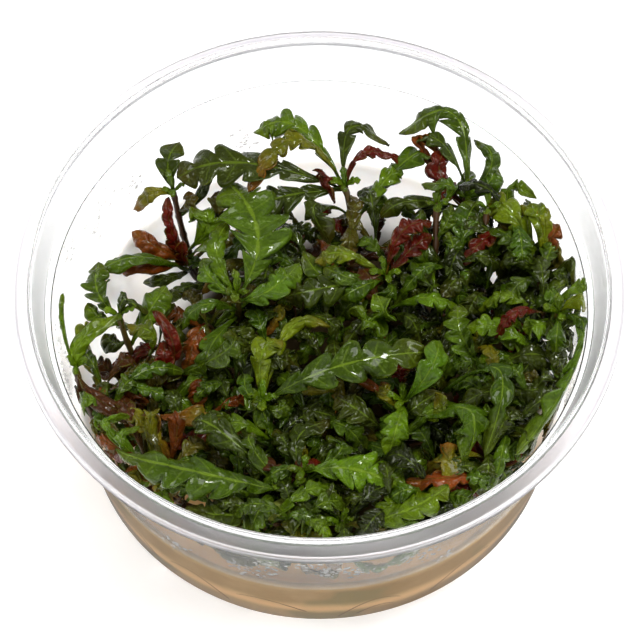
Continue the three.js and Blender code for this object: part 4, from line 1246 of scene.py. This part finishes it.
class CULTURE_OT_stage(bpy.types.Operator):
    """Lays the floor, hangs the soft lights and sets the camera at the photograph's angle"""

    bl_idname = "culture.stage"
    bl_label = "Stage"

    def execute(self, context):
        look = context.scene.culture_stage
        self.floor(look)
        for name, place, size, share in SOFT_LIGHTS:
            self.light(name, place, size, look.key_energy * share)
        world = bpy.data.worlds.new("studio")
        world.use_nodes = True
        background = world.node_tree.nodes["Background"]
        tree = world.node_tree
        around = added(tree, "ShaderNodeTexCoord").outputs["Generated"]
        height = added(tree, "ShaderNodeSeparateXYZ", {0: around}).outputs["Z"]
        below = ramp(tree, height, -0.3, 0.0, look.ground_strength, look.horizon_strength)
        above = ramp(tree, height, 0.3, 0.7, 0.0, look.horizon_strength - look.sky_strength)
        strength = math_node(tree, "SUBTRACT", below, above)
        tree.links.new(strength, background.inputs["Strength"])
        background.inputs["Color"].default_value = (1, 1, 1, 1)
        context.scene.world = world
        context.scene.view_settings.view_transform = "Standard"
        self.camera(context, look)
        return {"FINISHED"}

    def floor(self, look):
        """A pale matte floor."""
        bm = bmesh.new()
        bmesh.ops.create_grid(bm, x_segments=8, y_segments=8, size=FLOOR_SIZE)
        mesh = bpy.data.meshes.new("floor")
        bm.to_mesh(mesh)
        bm.free()
        material, tree, shader = new_material("floor", Roughness=0.6, Emission_Strength=look.floor_glow)
        shader.inputs["Emission Color"].default_value = (1, 1, 1, 1)
        grain = ramp(tree, noise_value(tree, 20.0), 0.3, 0.7, 0.0, 0.03)
        tinted = color_mix(tree, grain, tuple(look.floor_color), (0.75, 0.75, 0.77))
        tree.links.new(tinted, shader.inputs["Base Color"])
        mesh.materials.append(material)
        floor = bpy.data.objects.new("floor", mesh)
        bpy.context.scene.collection.objects.link(floor)
        floor.location.z = FLOOR_HEIGHT
        floor.visible_glossy = False

    def light(self, name, place, size, energy):
        """A square soft light that faces the cup."""
        lamp = bpy.data.lights.new(name, "AREA")
        lamp.size = size
        lamp.energy = energy
        made = bpy.data.objects.new(name, lamp)
        made.location = place
        made.rotation_euler = (LIGHT_TARGET - Vector(place)).to_track_quat("-Z", "Y").to_euler()
        bpy.context.scene.collection.objects.link(made)

    def camera(self, context, look):
        """A long lens that looks down into the cup."""
        back = Vector((0, -math.cos(look.camera_elevation), math.sin(look.camera_elevation)))
        camera = bpy.data.objects.new("camera", bpy.data.cameras.new("camera"))
        camera.data.lens = look.camera_lens
        camera.data.sensor_width = SENSOR_WIDTH
        camera.data.clip_start = 0.01
        camera.location = Vector((CAMERA_ASIDE, 0, look.camera_height)) + back * look.camera_distance
        camera.rotation_euler = back.to_track_quat("Z", "Y").to_euler()
        context.scene.collection.objects.link(camera)
        context.scene.camera = camera


class CULTURE_PT_panel(bpy.types.Panel):
    """Lists the build steps and their values"""

    bl_idname = "CULTURE_PT_panel"
    bl_label = "Culture Cup"
    bl_space_type = "VIEW_3D"
    bl_region_type = "UI"
    bl_category = "Culture Cup"

    def draw(self, context):
        for settings, operators in (
            (context.scene.culture_cup, (CULTURE_OT_jelly, CULTURE_OT_cup, CULTURE_OT_drops)),
            (context.scene.culture_plants, (CULTURE_OT_shoots,)),
            (context.scene.culture_stage, (CULTURE_OT_stage,)),
        ):
            box = self.layout.box()
            for name in settings.bl_rna.properties.keys():
                if name not in ("rna_type", "name"):
                    box.prop(settings, name)
            for operator in operators:
                box.operator(operator.bl_idname)


CLASSES = (
    CultureCupSizes, CulturePlantLook, CultureStageLook, CULTURE_OT_jelly, CULTURE_OT_cup, CULTURE_OT_drops,
    CULTURE_OT_shoots, CULTURE_OT_stage, CULTURE_PT_panel,
)


def register():
    """Registers the classes and hangs their values on the scene."""
    for entry in CLASSES:
        bpy.utils.register_class(entry)
    bpy.types.Scene.culture_cup = bpy.props.PointerProperty(type=CultureCupSizes)
    bpy.types.Scene.culture_plants = bpy.props.PointerProperty(type=CulturePlantLook)
    bpy.types.Scene.culture_stage = bpy.props.PointerProperty(type=CultureStageLook)


def unregister():
    """Takes the values and the classes away again."""
    del bpy.types.Scene.culture_stage
    del bpy.types.Scene.culture_plants
    del bpy.types.Scene.culture_cup
    for entry in reversed(CLASSES):
        bpy.utils.unregister_class(entry)


def main():
    """Runs the steps in order."""
    register()
    bpy.ops.culture.jelly()
    bpy.ops.culture.cup()
    bpy.ops.culture.drops()
    bpy.ops.culture.shoots()
    bpy.ops.culture.stage()


if __name__ == "__main__":
    main()
